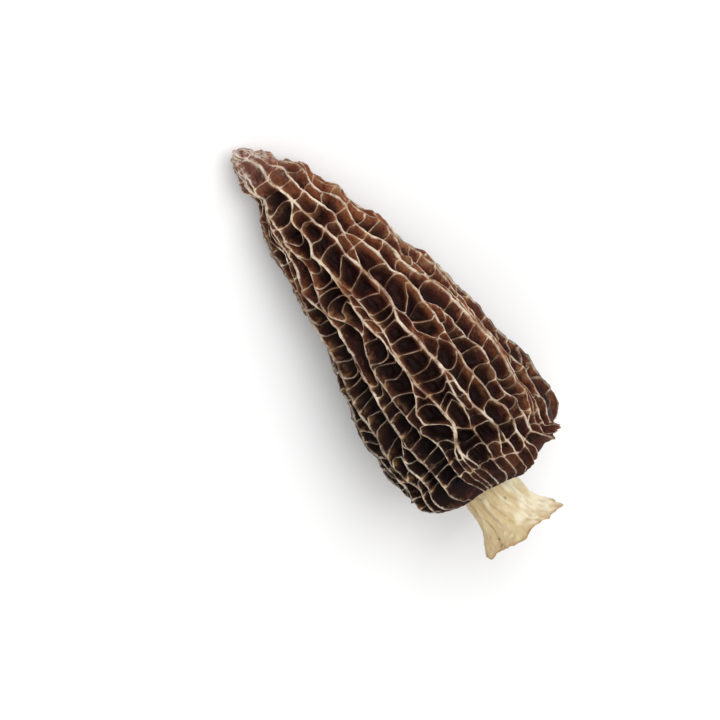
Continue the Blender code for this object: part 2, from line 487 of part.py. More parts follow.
    def place(self, at, degrees, depth):
        """World points in mm of surface points given by length, angle and depth."""
        along, width, middle = (
            np.interp(at, self.run, line) for line in (self.along, self.half_width, self.middle)
        )
        turn_along = np.interp(at, self.run, np.gradient(self.along, self.run))
        turn_width = np.interp(at, self.run, np.gradient(self.half_width, self.run))
        length = np.maximum(np.hypot(turn_along, turn_width), 1e-6)
        angle = np.radians(degrees)
        lump = LUMP_MM * (
            np.sin(3 * angle + at / 17.0) * np.cos(at / 29.0 + 1.0)
            + 0.7 * np.sin(5 * angle - at / 11.0 + 2.0)
        )
        lump = lump * np.clip((at - LUMP_FROM) / LUMP_FADE, 0.0, 1.0)
        lump = lump * np.clip((LUMP_TO - at) / LUMP_FADE, 0.0, 1.0)
        for seen, turn, reach, height in KNOBS:
            arc = np.radians((degrees - turn + 180.0) % 360.0 - 180.0) * np.maximum(width, KNOB_RADIUS)
            off = at - np.interp(seen / math.cos(VIEW_LEAN), self.along[: self.top], self.run[: self.top])
            lump = lump + height * np.exp(-(arc**2 + off**2) / reach**2)
        inward = depth - lump
        tilt = RIM_TILT * width * np.sin(angle) / RIM_WIDTH
        tilt = tilt * np.clip((at - RIM_TILT_FROM) / (RIM - RIM_TILT_FROM), 0.0, 1.0)
        s = (along + tilt) * UNIT_MM + inward * turn_width / length
        r = np.maximum(width * UNIT_MM - inward * turn_along / length, 0.02)
        y = middle * UNIT_MM + r * np.sin(angle)
        return to_world(s, y, r * np.cos(angle) * FLATNESS, True)


def to_world(s, y, h, rests):
    """Turns axis coordinates into world ones, in mm.

    The flank h = -(depth + slope * s) becomes the plane z = 0, and what would lie under it is
    pressed up to it: h + soft * log(1 + exp(-h / soft)), with h counted from the flank.
    """
    tilt = math.atan(FLANK_SLOPE)
    flank = (FLANK_DEPTH + FLANK_SLOPE * (s / UNIT_MM - FLANK_AT)) * UNIT_MM
    if rests:
        above = h + flank
        h = FLANK_SOFT_MM * np.logaddexp(0.0, above / FLANK_SOFT_MM) - flank
    base = (FLANK_DEPTH - FLANK_SLOPE * FLANK_AT) * UNIT_MM * math.cos(tilt)
    x = s * math.cos(tilt) - h * math.sin(tilt) - ORIGIN_X_MM
    z = s * math.sin(tilt) + h * math.cos(tilt) + base - FOOT_CUT_MM
    return np.stack((x, y - ORIGIN_Y_MM, z), axis=-1)


def ring_faces(rows, columns, first):
    """Outward quads between closed rings of vertices, numbered ring after ring from first."""
    row, column = np.meshgrid(np.arange(rows - 1), np.arange(columns), indexing="ij")
    after = (column + 1) % columns
    a = first + row * columns + column
    b = first + row * columns + after
    return np.stack((a + columns, b + columns, b, a), axis=-1).reshape(-1, 4).tolist()


def make_object(name, points, faces, color, roughness):
    """A mesh object in metres with a material of its own."""
    mesh = bpy.data.meshes.new(name)
    mesh.from_pydata((points * 0.001).tolist(), [], faces)
    mesh.validate()
    mesh.update()
    item = bpy.data.objects.new(name, mesh)
    bpy.context.scene.collection.objects.link(item)
    material = bpy.data.materials.new(name)
    material.use_nodes = True
    shader = material.node_tree.nodes["Principled BSDF"]
    shader.inputs["Base Color"].default_value = (*color, 1.0)
    shader.inputs["Roughness"].default_value = roughness
    mesh.materials.append(material)
    return item


def build_cap():
    """The cap as one closed skin: ribbed upper side, rolled edge and socket for the stem."""
    cap = Cap()
    gaps, shares = [], []
    for gap in range(len(cap.names)):
        number = COLUMNS_SEEN if gap < len(SEEN_RIBS) else COLUMNS_UNDER
        t = np.arange(number) / number
        gaps.append(np.full(number, gap))
        shares.append(t - COLUMN_SQUEEZE * np.sin(2 * math.pi * t) / (2 * math.pi))
    gap, share = np.concatenate(gaps), np.concatenate(shares)
    walls = cap.wall_rows(gap, share)
    count = len(gap)
    lines = np.concatenate((np.full((1, count), FIRST_ROW), walls, np.full((1, count), RIM)))
    t = np.arange(ROWS_PER_SLOT)[None, :, None] / ROWS_PER_SLOT
    above = (lines[:-1, None] + (lines[1:] - lines[:-1])[:, None] * t).reshape(-1, count)
    below = np.linspace(RIM, cap.run[-1], ROWS_BELOW + 1)[:, None].repeat(count, 1)
    at = np.concatenate((above, below))
    surface = cap.place(at, cap.angles(at, gap, share), cap.depth(at, walls, gap, share))
    ends = [
        to_world(np.array([s * UNIT_MM]), np.array([y * UNIT_MM]), np.zeros(1), True)
        for s, y in ((cap.along[0], cap.middle[0]), (SOCKET_FLOOR, UNDERSIDE[-1][2]))
    ]
    points = np.concatenate((ends[0], surface.reshape(-1, 3), ends[1]))
    last = 1 + (len(at) - 1) * count
    faces = [[1 + i, 1 + (i + 1) % count, 0] for i in range(count)]
    faces += ring_faces(len(at), count, 1)
    faces += [[len(points) - 1, last + (i + 1) % count, last + i] for i in range(count)]
    return make_object("cap", points, faces, CAP_COLOR, CAP_ROUGHNESS)


def build_stem():
    """The stem as one closed skin: folded outside, ragged flared lip and the hollow inside."""
    stations, radii, middles = np.array(STEM, float).T
    share = np.linspace(0.0, 1.0, STEM_ALONG) ** 0.85
    s = stations[0] + (stations[-1] - stations[0]) * share
    radius = np.interp(s, stations, radii) * UNIT_MM
    middle = np.interp(s, stations, middles) * UNIT_MM
    angle = np.linspace(0, 2 * math.pi, STEM_AROUND, endpoint=False)
    spread = (share**2)[:, None]
    folds = 0.10 * np.cos(5 * angle + 0.6) + 0.07 * np.cos(8 * angle + 2.1)
    flutes = folds * (0.5 + 1.6 * spread) + 0.25 * np.cos(2 * angle + 0.5) * spread
    lip = 0.22 * np.cos(3 * angle + 0.4) + 0.16 * np.cos(7 * angle + 1.0) + 0.1 * np.cos(11 * angle)
    length = s[:, None] * UNIT_MM + lip * (share**6)[:, None]
    wall = STEM_WALL_MM + (STEM_LIP_MM - STEM_WALL_MM) * share**3
    rings = []
    for inset in (0.0, 1.0):
        r = radius[:, None] + flutes * (1.0 - 0.4 * inset) - inset * wall[:, None]
        y = middle[:, None] + r * np.sin(angle)
        rings.append(to_world(length, y, r * np.cos(angle), False))
    outer, inner = rings
    points = np.concatenate((outer, inner[::-1])).reshape(-1, 3)
    rows = 2 * STEM_ALONG
    faces = ring_faces(rows, STEM_AROUND, 0)
    row = (rows - 1) * STEM_AROUND
    for i in range(STEM_AROUND):
        after = (i + 1) % STEM_AROUND
        faces.append([i, after, row + after, row + i])
    return make_object("stem", points, faces, STEM_COLOR, STEM_ROUGHNESS)


def wear_foot(item):
    """Cuts the crests that the cap lies on level with the ground."""
    bpy.ops.mesh.primitive_cube_add(size=1.0, location=(0.0, 0.0, -GROUND_DEPTH_M / 2))
    cutter = bpy.context.active_object
    cutter.name = "ground_cutter"
    cutter.scale = (GROUND_SIZE_M, GROUND_SIZE_M, GROUND_DEPTH_M)
    cutter.hide_render = True
    cutter.display_type = "WIRE"
    cut = item.modifiers.new("foot", "BOOLEAN")
    cut.operation = "DIFFERENCE"
    cut.solver = "EXACT"
    cut.object = cutter


clear_scene()
cap_object = build_cap()
stem_object = build_stem()
wear_foot(cap_object)
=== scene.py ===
"""Dried black morel lying on its side, seen from above its tip: finished surfaces, light and camera.

The cap and the stem are built as fine skins from the same outline and rib lines as the solids that
they stand for. Lengths in the tables are drawing units of UNIT_MM millimetres, counted from the
tip, and angles are degrees round the axis, with 0 on the upper side and 90 towards +Y.
"""

import logging
import math
from dataclasses import dataclass, field
from enum import Enum

import bpy
import numpy as np
from mathutils import Matrix, Vector


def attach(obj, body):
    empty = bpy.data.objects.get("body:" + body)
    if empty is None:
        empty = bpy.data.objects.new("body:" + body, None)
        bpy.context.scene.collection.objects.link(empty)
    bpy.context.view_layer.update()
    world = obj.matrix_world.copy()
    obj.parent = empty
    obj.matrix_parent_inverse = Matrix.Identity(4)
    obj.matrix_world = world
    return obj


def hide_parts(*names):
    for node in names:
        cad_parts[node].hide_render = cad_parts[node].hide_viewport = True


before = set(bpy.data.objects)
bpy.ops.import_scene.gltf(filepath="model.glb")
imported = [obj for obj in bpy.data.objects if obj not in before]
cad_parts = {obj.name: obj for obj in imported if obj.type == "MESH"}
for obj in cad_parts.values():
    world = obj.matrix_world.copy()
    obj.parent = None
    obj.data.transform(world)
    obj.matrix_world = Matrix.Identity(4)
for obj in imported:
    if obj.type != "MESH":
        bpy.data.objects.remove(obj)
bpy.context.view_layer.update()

LOG = logging.getLogger("morel")

UNIT_MM = 0.1446
METRES = 0.001  # metres in a millimetre
TINY = 1e-6
SEED = 41
VIEW_LEAN = math.radians(17.0)
FLATNESS = 0.95
FLANK_SLOPE = 0.161
FLANK_AT, FLANK_DEPTH = 370.0, 86.5
FLANK_SOFT_MM = 0.35
FOOT_CUT_MM = 0.13
ORIGIN_X_MM = 34.7
ORIGIN_Y_MM = 0.57

Points = list[tuple[float, float]]
Socket = bpy.types.NodeSocket


def shifted(points: Points, by: float) -> Points:
    """The same line a little further to the side."""
    return [(seen, round(side + by, 1)) for seen, side in points]


# seen distance from the tip, left edge, right edge
OUTLINE = [
    (-8, 0, 0), (-6.6, -4.4, 5.6), (-4, -6.2, 9), (0, -8, 13.5), (10, -9.5, 23), (20, -14, 28.5),
    (28, -17, 29.5), (31, -17, 30.5), (36, -16, 38), (42, -14, 45), (50, -14, 47.5), (60, -22, 47),
    (70, -29, 48), (76, -31.5, 51), (82, -33.5, 58), (90, -35, 59.5), (100, -36, 60), (110, -38.5, 61),
    (120, -41, 64.5), (140, -45.5, 71), (160, -48.5, 75), (180, -51.5, 78.5), (200, -55.5, 84),
    (220, -61, 88.5), (240, -68, 90), (260, -75, 91), (280, -80.5, 92.5), (300, -86, 94),
    (320, -89, 95.5), (340, -91, 96.5), (360, -93, 97), (378, -92.5, 95.5),
]
# true distance from the tip, half-width, middle: the edge that rolls under and the socket of the stem
UNDERSIDE = [
    (405, 88.5, 2), (413, 81, 2), (419, 67, 0), (421, 56, -5), (419, 45, -11), (413, 38, -15),
    (405, 33.5, -16), (399, 32, -16),
]
SOCKET_FLOOR = 398.0
# stretches that two or three crest lines share before they part
MIDDLE_TRUNK = [
    (0, 0), (8, 5.8), (16, 9.3), (22, 10.8), (29, 8.8), (36, 9.8), (44, 9.5), (53, 10.3), (59, 12),
    (66, 12.8), (77, 14.3), (89, 16.6), (98, 16.8), (105, 19.8), (112, 21.5), (123, 22.8), (132, 20.8),
    (140, 19.2), (151, 21.8), (161, 24), (179, 25.2), (190, 26.8), (201, 25.2), (212, 23.8), (218, 20.8),
    (224, 18.8), (234, 19.2), (246, 21.8), (259, 21), (277, 21.6),
]
RIGHT_TRUNK = [
    (0, 8), (5, 12), (16, 17.7), (25, 19), (30.5, 24), (37, 26.8), (44, 25), (62, 25.5), (66, 28.6),
    (70.5, 31), (77, 30), (83, 32), (95, 35), (104, 36.5), (113, 34.8), (123, 35), (132, 40), (139, 43),
    (148, 43), (162, 45.5), (174, 46), (184, 47.8), (192, 52), (201, 54), (215, 54),
]
# crest lines of the upper side in order: (seen distance from the tip, seen distance to the side)
SEEN_RIBS = {
    "edge_left": [
        (0, -9), (20, -14), (40, -12), (60, -21), (70, -28), (85, -33), (100, -35), (120, -38),
        (140, -43), (160, -46.5), (167, -47.5), (187, -52), (201, -54.4), (218, -57), (229, -61),
        (251, -73), (265, -77), (280, -79), (300, -84), (307, -86), (317, -84), (335, -85.5), (352, -84),
    ],
    "left": [
        (0, -7), (40, -11), (60, -16), (70, -20), (81, -28.6), (95, -27.7), (103, -27), (107, -29),
        (115, -32), (130, -35), (140, -38.5), (150, -43.5), (160, -46), (187, -51.6), (201, -54),
        (221, -56.3), (238, -62), (257, -67), (265, -68), (286, -71), (300, -74), (315, -76.7),
        (340, -78), (352, -78), (365, -75.5), (372, -74), (384, -77),
    ],
    "left_inner": [
        (0, -6), (40, -10.5), (60, -15.5), (75, -19), (81, -24), (95, -23), (103, -24.5), (107, -26),
        (120, -29), (130, -30), (137, -32), (143, -35.5), (162, -35), (179, -35), (196, -34.4),
        (212, -35.6), (226, -38), (234, -43), (246, -46), (258, -46.5), (271, -48), (282, -49),
        (295, -52.4), (307, -53.6), (318, -55.5), (328, -60.5), (336, -65), (344, -67.4), (360, -65.5),
        (375, -67), (390, -70),
    ],
    "left_fork": [
        (0, -5.8), (40, -10.3), (60, -15.3), (75, -18.5), (95, -22), (107, -25.5), (130, -29.5),
        (143, -35), (179, -34.5), (212, -35), (226, -37.5), (246, -45.5), (271, -47.5), (295, -52),
        (318, -55), (328, -57), (340, -55), (360, -51), (380, -52), (400, -53),
    ],
    "front_left": [
        (0, -5), (33, -8), (40, -10), (50, -13), (58, -15), (68, -15), (82, -15), (90, -17), (95, -18.5),
        (105, -20), (113, -19.5), (121, -17.5), (134, -19), (142, -21), (152, -23), (157, -26.7),
        (163, -30), (170, -33.5), (180, -32.5), (190, -25.6), (201, -19.4), (213, -19), (227, -25.6),
        (242, -32), (257, -36), (271, -35.5), (297, -37), (312, -37), (330, -35), (345, -31),
        (357, -30.5), (374, -32.4), (390, -33), (405, -30),
    ],
    "front_loop": [
        (0, -3), (8, 5), (22, 10), (44, 9), (66, 12), (72, 8.7), (78, 1.2), (85, -0.7), (104, 1.2),
        (111, 1.2), (118, -3.2), (122, -5.2), (140, -3.2), (157, -4.6), (177, -6.2), (196, -8.7),
        (205, -9.7), (225, -7.2), (240, -7.5), (260, -8), (276, -9), (283, -11), (290, -15.5), (297, -18),
        (304, -23), (311, -26.7), (325, -26.7), (330, -20), (335, -12), (342, -6), (352, -9.5),
        (360, -16), (368, -21), (377, -24), (390, -24), (405, -23),
    ],
    "front_edge": [
        (0, -2.8), (8, 5.2), (22, 10.2), (44, 9.2), (66, 12.2), (72, 9), (78, 1.4), (85, -0.5),
        (104, 1.4), (111, 1.4), (118, -3), (122, -5), (140, -3), (157, -4.4), (177, -6), (196, -8.5),
        (205, -9.4), (225, -7), (240, -7), (260, -7), (300, -7), (315, -6), (340, -4), (350, -8.6),
        (360, -15.5), (370, -17.4), (381, -18.6), (400, -18),
    ],
    "front": [
        (0, -2.6), (8, 5.4), (22, 10.4), (44, 9.4), (66, 12.4), (72, 9.3), (78, 1.6), (85, -0.3),
        (104, 1.6), (111, 1.6), (118, -2.8), (122, -4.8), (140, -2.6), (157, -2), (168, -0.5), (184, 0.5),
        (201, 0.5), (218, 0), (234, -1.5), (240, -4), (260, -6), (300, -6), (315, -5), (327, -3.6),
        (340, -3), (350, -7.5), (360, -15), (370, -17), (377, -16), (390, -12), (406, -8.6),
    ],
    "middle_fork": MIDDLE_TRUNK + [
        (290, 22), (300, 19.5), (310, 18), (320, 15), (332, 13), (344, 12), (356, 8), (366, 6.4),
        (377, 7), (389, 6.4), (395, 4), (412, 4.5),
    ],
    "middle_second": shifted(MIDDLE_TRUNK, 0.2) + [
        (290, 22.6), (300, 24.6), (315, 23.6), (325, 24.6), (334, 22.6), (346, 25.3), (359, 26.6),
        (368, 27), (376, 23), (380, 20.7), (389, 14.5), (402, 15), (412, 14),
    ],
    "middle": shifted(MIDDLE_TRUNK, 0.4) + [
        (290, 23), (300, 25), (315, 24), (325, 25), (334, 23), (346, 25.7), (359, 27), (372, 28),
        (384, 28), (394, 25.7), (402, 24.5), (415, 23),
    ],
    "right_cross": [
        (0, 7.8), (5, 11.7), (16, 17.4), (25, 18.7), (30.5, 23.7), (37, 26.5), (44, 24.7), (62, 25.2),
        (66, 28.2), (70.5, 30.6), (77, 29.6), (83, 31.6), (95, 34.6), (104, 36), (113, 34.4), (123, 34.4),
        (130, 32), (141, 32), (150, 27.8), (157, 25.4), (163, 25), (179, 26), (190, 27.6), (201, 26.2),
        (213, 25), (218, 26.5), (224, 29), (234, 27.8), (246, 27.3), (254, 31), (261, 36), (269, 41),
        (276, 44.4), (287, 44), (302, 41.5), (315, 41), (326, 43.5), (335, 42.2), (345, 42.6),
        (356, 45.2), (371, 44), (384, 41), (392, 39.5), (402, 37), (412, 34.5),
    ],
    "right": RIGHT_TRUNK + [
        (225, 50.5), (240, 50.5), (259, 50), (269, 47.6), (276, 45), (287, 44.5), (302, 42), (315, 41.4),
        (326, 44), (335, 42.6), (345, 43), (356, 45.7), (371, 44.5), (384, 41.4), (396, 42), (406, 45),
    ],
    "right_fork": shifted(RIGHT_TRUNK, 0.2) + [
        (225, 51), (228, 52), (238, 56.7), (248, 60), (260, 60.6), (277, 61.4), (296, 64.5), (306, 64.5),
        (315, 62), (324, 62), (332, 58), (346, 56.4), (357, 59.5), (371, 56.4), (384, 54.5), (396, 52.6),
        (409, 48),
    ],
    "right_outer": [
        (0, 9), (10, 15), (20, 24), (26, 28.5), (30, 33), (37, 38.6), (44, 39.5), (55, 39.5), (63, 41),
        (75, 42), (82, 47.7), (90, 51), (98, 52), (105, 51), (129, 50), (141, 53), (152, 56.7), (165, 58),
        (176, 58.5), (184, 60.5), (193, 63), (205, 67.8), (218, 70), (232, 71), (245, 74), (259, 76.4),
        (277, 78), (315, 78), (327, 77), (340, 74.5), (352, 73), (365, 67), (375, 60), (384, 56),
        (396, 53.5), (409, 49),
    ],
    "right_rim": [
        (0, 9.2), (10, 15.2), (20, 24.3), (26, 28.8), (30, 33.4), (37, 39), (55, 40), (63, 41.4),
        (75, 42.5), (82, 48.2), (90, 51.5), (98, 52.5), (129, 50.5), (141, 53.5), (152, 57.2),
        (165, 58.5), (176, 59), (184, 61), (193, 63.5), (205, 68.3), (218, 70.6), (232, 71.6),
        (245, 74.6), (259, 77), (277, 78.6), (315, 78.6), (327, 77.6), (340, 75.2), (352, 74), (365, 70),
        (372, 66.5), (379, 63), (392, 62), (400, 60), (409, 56),
    ],
    "right_loop": [
        (0, 10), (20, 25.5), (26, 29.4), (30, 36), (37, 44), (50, 46), (63, 47), (75, 49), (80, 53),
        (84, 57), (95, 56), (110, 58.5), (122, 61), (134, 66.7), (146, 70), (158, 71), (166, 67.8),
        (176, 61.5), (180, 64.5), (184, 67.4), (196, 69), (203, 70), (206, 69.8), (218, 72), (245, 77),
        (260, 79.5), (277, 80.5), (315, 80), (327, 79.5), (340, 77), (352, 76), (365, 73), (378, 70),
        (392, 66), (409, 60),
    ],
    "far_right": [
        (0, 10.6), (20, 27), (28, 29.8), (35, 42), (44, 47), (60, 48.4), (75, 50.5), (82, 57.5),
        (100, 59.8), (122, 65), (146, 71.5), (170, 75), (190, 78), (215, 84), (227, 82.5), (240, 81),
        (259, 82.5), (296, 83), (310, 83), (320, 84.5), (332, 87), (340, 88), (347, 86), (359, 83.5),
        (367, 81.5), (380, 80), (394, 71), (409, 63),
    ],
}
# crest lines of the under side in order: (seen distance from the tip, degrees)
UNDER_RIBS = {
    "under_a": [
        (0, 98), (60, 100), (120, 96), (180, 94), (240, 93), (300, 95), (360, 96), (405, 95),
    ],
    "under_b": [
        (0, 111), (60, 107), (125, 107), (180, 113), (240, 112), (300, 113), (360, 112), (405, 110),
    ],
    "under_c": [
        (0, 140), (60, 136), (120, 132), (180, 133), (240, 134), (300, 134), (360, 129), (405, 127),
    ],
    "under_d": [
        (0, 141), (60, 137), (120, 133), (200, 134.5), (240, 140), (300, 150), (360, 145), (405, 142),
    ],
    "under_e": [
        (0, 165), (60, 160), (120, 158), (180, 156), (240, 161), (300, 166), (360, 161), (405, 157),
    ],
    "under_f": [
        (0, 190), (60, 186), (120, 184), (180, 178), (240, 178), (300, 181), (360, 177), (405, 173),
    ],
    "under_g": [
        (0, 191), (60, 187), (115, 185), (180, 199), (240, 196), (300, 196), (360, 193), (405, 189),
    ],
    "under_h": [
        (0, 218), (60, 213), (120, 211), (180, 218), (240, 213), (300, 211), (360, 208), (405, 205),
    ],
    "under_i": [
        (0, 219), (60, 214), (120, 212), (180, 219), (220, 216), (260, 226), (300, 228), (360, 223),
        (405, 220),
    ],
    "under_j": [
        (0, 240), (60, 236), (120, 237), (180, 238), (240, 241), (300, 244), (360, 239), (405, 236),
    ],
    "under_k": [
        (0, 262), (60, 258), (120, 261), (180, 256), (240, 252), (300, 257), (360, 253), (405, 250),
    ],
}
GAP_LEAST = 0.7  # degrees that merged ribs keep between them
# walls across the gap right of a rib: (seen distance at the left, at the right, sag in the middle)
WALLS = {
    "left": [
        (112, 112, 0), (128, 126, 0), (167, 145, 0), (178, 181, 0), (190, 195.5, 0), (204, 210, 0),
        (218, 221, 4), (234, 234, 6), (246, 243, 0), (258, 256, 0), (271, 266, 0), (279, 284, 0),
        (297, 294, 0), (321, 312, 0), (328, 336, 0), (349, 347, 3), (365, 364, 0), (380, 380, 0),
    ],
    "left_inner": [(345, 348, 0), (365, 365, 0), (383, 382, 0)],
    "left_fork": [
        (106, 97, 0), (143, 141, 0), (161, 160, 0), (257.5, 258.5, 3), (271, 270, 2), (283, 283, 0),
        (299, 298, -2), (319, 315, 3), (335, 333, 0), (354, 352, 0), (375, 374, 0), (392, 390, 0),
    ],
    "front_left": [
        (65, 62, -2), (81, 82, 0), (95, 102, 9), (114, 120, 6), (137, 136, 2), (153, 152, 0),
        (157, 164, -2), (170, 172, -3), (190, 175, 0), (214, 203, 0), (221, 227, 0), (241, 243, 5),
        (243, 257, 0), (258, 264, 7), (280, 291, 0), (306, 302, 0), (323, 326, 0), (348, 360, 0),
        (375, 372, 0), (392, 390, 0),
    ],
    "front_loop": [(308, 316, -3), (378, 377, 2)],
    "front": [
        (40, 42, 0), (66, 64, 0), (78, 76, 0), (91, 91, -3), (112, 110, 4), (130, 124, -1), (159, 134, 2),
        (173, 165, 0), (185, 195, -2), (205, 207, 1), (214, 213, 3), (223, 222, 0), (240, 245, -2),
        (252, 263, 0), (276, 273, 4), (285, 294, 3), (301, 299, 7), (319, 309, 0), (327, 317, 0),
        (347, 356, 0), (375, 373, 0), (392, 390, 2),
    ],
    "middle_fork": [(335, 335, 3), (357, 355, 0), (380, 378, 0), (395, 396, 0)],
    "middle_second": [(382, 382, 0), (395, 396, 0)],
    "middle": [
        (27, 31, 0), (49, 45, 3), (70, 73, -3), (86, 85, 3), (104, 111, 0), (123, 122, 0), (140, 141, 0),
        (279, 266, -2), (292, 287, 6), (326, 315, -2), (346, 341, -2), (362, 371, 0), (381, 381, 0),
        (397, 397, 0),
    ],
    "right_cross": [
        (141, 140, 0), (168, 172, -1), (194, 187, -1), (226, 196, 2), (228, 247, 0), (262, 262, 0),
    ],
    "right": [
        (254, 256, 0), (272, 278, 0), (290, 292, 0), (310, 313, -2), (331, 330, 0), (346, 350, 2),
        (371, 378, 0), (394, 394, 0),
    ],
    "right_fork": [
        (40, 42, 0), (62, 64, 0), (83, 84, 0), (104, 106, 0), (122, 124, 0), (138, 138, 3), (160, 158, 0),
        (191, 176, 0), (215, 210, 0), (243, 243, 2), (264, 262, -1), (283, 276, 0), (298, 294, 0),
        (325, 335, 2), (350, 356, 0), (370, 372, 0),
    ],
    "right_rim": [
        (48, 56, 0), (66, 62, 0), (84, 80, 0), (104, 104, 0), (124, 126, 0), (138, 136, 0), (154, 153, 0),
        (190, 192, 0),
    ],
}
# knobs of the crests: seen distance, degrees, reach in drawing units, height in mm
KNOBS = [
    (-4, 10, 6, 0.30), (8, -70, 6, 0.35), (28, -78, 9, 0.35), (14, 72, 8, 0.35), (42, 78, 9, 0.5),
    (84, 80, 8, 0.4), (60, -80, 7, 0.3), (30, 20, 6, 0.3), (24, -20, 6, 0.25), (50, 60, 7, 0.3),
    (128, -84, 9, 0.4), (225, 84, 12, 0.3), (300, 200, 14, 0.2), (52, 170, 8, 0.4),
    (36, 130, 8, 0.5), (20, 220, 7, 0.4),
]
RIM = 448.0  # length along the outline at which the rolled edge turns under
# degrees round the axis, and how much further down the rim reaches there
RIM_EDGE = [
    (-180, 0), (-140, -3), (-100, -3), (-70, -4), (-45, -6.5), (-30, -11.5), (-16, -13), (-2, -5.5),
    (5, -3), (12, 4), (18, 9), (24, 5.5), (34, 0), (39, 8), (46, 9.5), (58, 8), (80, 9), (120, 8),
    (155, 4),
]
RIM_EDGE_FROM = 300.0
RIM_NARROW, RIM_BLEND = 34.0, 50.0  # inside this half-width the socket has no such lobes
# share of the full relief by length along the outline
RELIEF_AT = [0, 17, 95, 405, 430, 452, 474]
RELIEF_SHARE = [0.18, 0.18, 1.0, 1.0, 0.6, 0.3, 0.0]
TIP_CALM, TIP_CALM_AT = 3.0, 200.0  # walls bend together over a wider arc near the tip

OUTLINE_SOFT, MIDDLE_SOFT = 1.8, 3.0  # how far the corners of the outline are rounded
SEEN_RIB_SOFT, UNDER_RIB_SOFT = 1.6, 4.0
RIB_REACH = 16  # steps of the outline over which a crest line is rounded
VIEW_TURNS = 14  # rounds in which a seen place and its true distance settle
ORDER_TURNS = 80  # rounds in which neighbouring crest lines are kept apart
RIB_WAVE_MM = 0.2
RIB_WAVES = (23.0, 37.0, 59.0)
RIB_WAVE_WIDTH = 14.0  # half-width under which the waves grow no wider
RIB_WAVE_FROM, RIB_WAVE_FADE = 20.0, 60.0

SLOT_LEAST = 4.0  # length that the ends of neighbouring walls keep between them
SEATS_MARGIN = 4.0  # slots up to this far past the walls read from the view count as among them
WALLS_BEFORE, WALLS_AFTER = 2.0, 16.0  # where the slots before and after those walls run out
# height over that of the ribs: of walls read from the view, and of folds in the slots between them
SEEN_HEIGHT, SEEN_HEIGHT_SWAY = 0.82, 0.12
FOLD_HEIGHTS = [0.0, 0.0, 0.2, 0.3]
# walls that no view gives: shift of a gap, jitter and slant of a wall, sag and heights
FREE_SHIFT, FREE_JITTER, FREE_SLANT = 6.0, 3.5, 6.0
FREE_SAG = (-1.0, 6.0)
FREE_HEIGHTS = [0.0, 0.35, 0.7, 0.8, 0.85, 0.9]
ROW_LEAST = 2.5  # length that neighbouring rows of walls keep between them
RIM_CLEAR = 3.0  # length that the last of them keeps from the rim
MEET_RADIUS_MM, MEET_LEAST = 1.2, 0.02  # least radius, and degrees of a column, where walls meet

PIT_DEPTH_MM = 2.7
PIT_WIDTH_MM = 2.6
PIT_DEEPEST, PIT_POWER = 1.15, 0.8
# sharp crest on a broad foot: width of each in mm, and the share of the sharp one
RIB_BELLS = (0.27, 0.9, 0.7)
SPUR_BELLS = (0.2, 0.6, 0.6)
WALL_BELLS = (0.2, 0.75, 0.66)
SPUR_WIDTHS = (1.6, 2.6)  # mm of a gap between which its spurs rise
SPUR_HEIGHTS = [0.0, 0.0, 0.0, 0.0, 0.3, 0.5]
SPUR_PLACES = (0.34, 0.66)
WALL_SADDLE = 0.5
WALL_SEEN = 0.05  # walls lower than this share don't count for the finish
RIB_FAR_MM, WALL_FAR_MM = 9.0, 2.0  # distances that mean that none is near
ACROSS_LEAST_MM = 0.03  # least width of a column when the slope of a wall is worked out
# how far ochre skin reaches below a wall and above it, and where the one becomes the other
SHEET_BELOW_MM, SHEET_ABOVE_MM, SHEET_EDGE_MM = 0.45, 0.06, -0.01
EDGE_TINT, EDGE_TINT_WIDTH = 8.0, 6.0  # length past the rim of its tinted edge, and the edge's width

LUMP_MM, LUMP_SECOND = 0.28, 0.7  # height of the slow waves, and share of the second kind
LUMP_LENGTHS = (17.0, 29.0, 11.0)
LUMP_FROM, LUMP_TO, LUMP_FADE = 30.0, 455.0, 50.0
KNOB_RADIUS = 6.0  # least half-width by which the arc of a knob is read
RADIUS_LEAST_MM, SWAY_RADIUS_MM = 0.02, 1.6
# height in mm, cell in mm and seed of each grain
FINE_GRAIN = [(0.5, 0.55, 3), (0.5, 1.3, 4)]
KNOB_GRAIN = [(1.0, 0.8, 5)]
WART_GRAIN = [(0.42, 1.1, 11), (0.32, 0.5, 12)]
SWAY_GRAIN = [(0.2, 1.7, 6), (0.09, 0.7, 14)]
STEM_GRAIN = [(0.07, 0.9, 8), (0.04, 0.4, 9)]
TURN_GRAIN = [(0.09, 2.2, 15)]
STRENGTH_GRAIN = [(0.5, 1.8, 16)]
FINE_MM, KNOBS_MM, KNOBS_REACH_MM, WART_POWER = 0.16, 0.18, 0.12, 0.7
# the grain is weaker near the tip and in the socket
GRAIN_RISE, GRAIN_LEAST = 60.0, 0.3
GRAIN_END, GRAIN_FALL, GRAIN_LAST = 470.0, 30.0, 0.1
# painted light: the cap's colour is made lighter and redder towards +Y and the tip, the sides the light
# comes from
PAINTED_LIGHT_BASE, PAINTED_LIGHT_SIDE = 0.64, 0.36
# how much less painted light the cap gets past each stretch along the outline: share, start, end
PAINTED_LIGHT_LOSS = [(0.45, 180.0, 400.0), (0.4, 440.0, 480.0)]

# true distance from the tip, radius and middle of the stem
STEM = [
    (402.5, 28.5, -16), (412, 29, -16), (428, 29, -16.6), (444, 29.6, -17.6), (455, 30.4, -18),
    (464, 32.5, -18.5), (473, 37, -19), (481, 43, -18), (486, 48, -17),
]
STEM_WALL_MM = 0.85
STEM_LIP_MM = 0.42
# creases down the stem: number round it, phase, depth in mm
STEM_CREASES = [(7, 0.4, 0.20), (17, 1.3, 0.24), (29, 0.2, 0.12)]
# brown specks on the stem: true distance from the tip, degrees, reach in mm
STEM_SPECKS = [(427, -28, 0.28), (441, 12, 0.22), (474, -42, 0.3), (481, -40, 0.25), (452, 40, 0.15)]
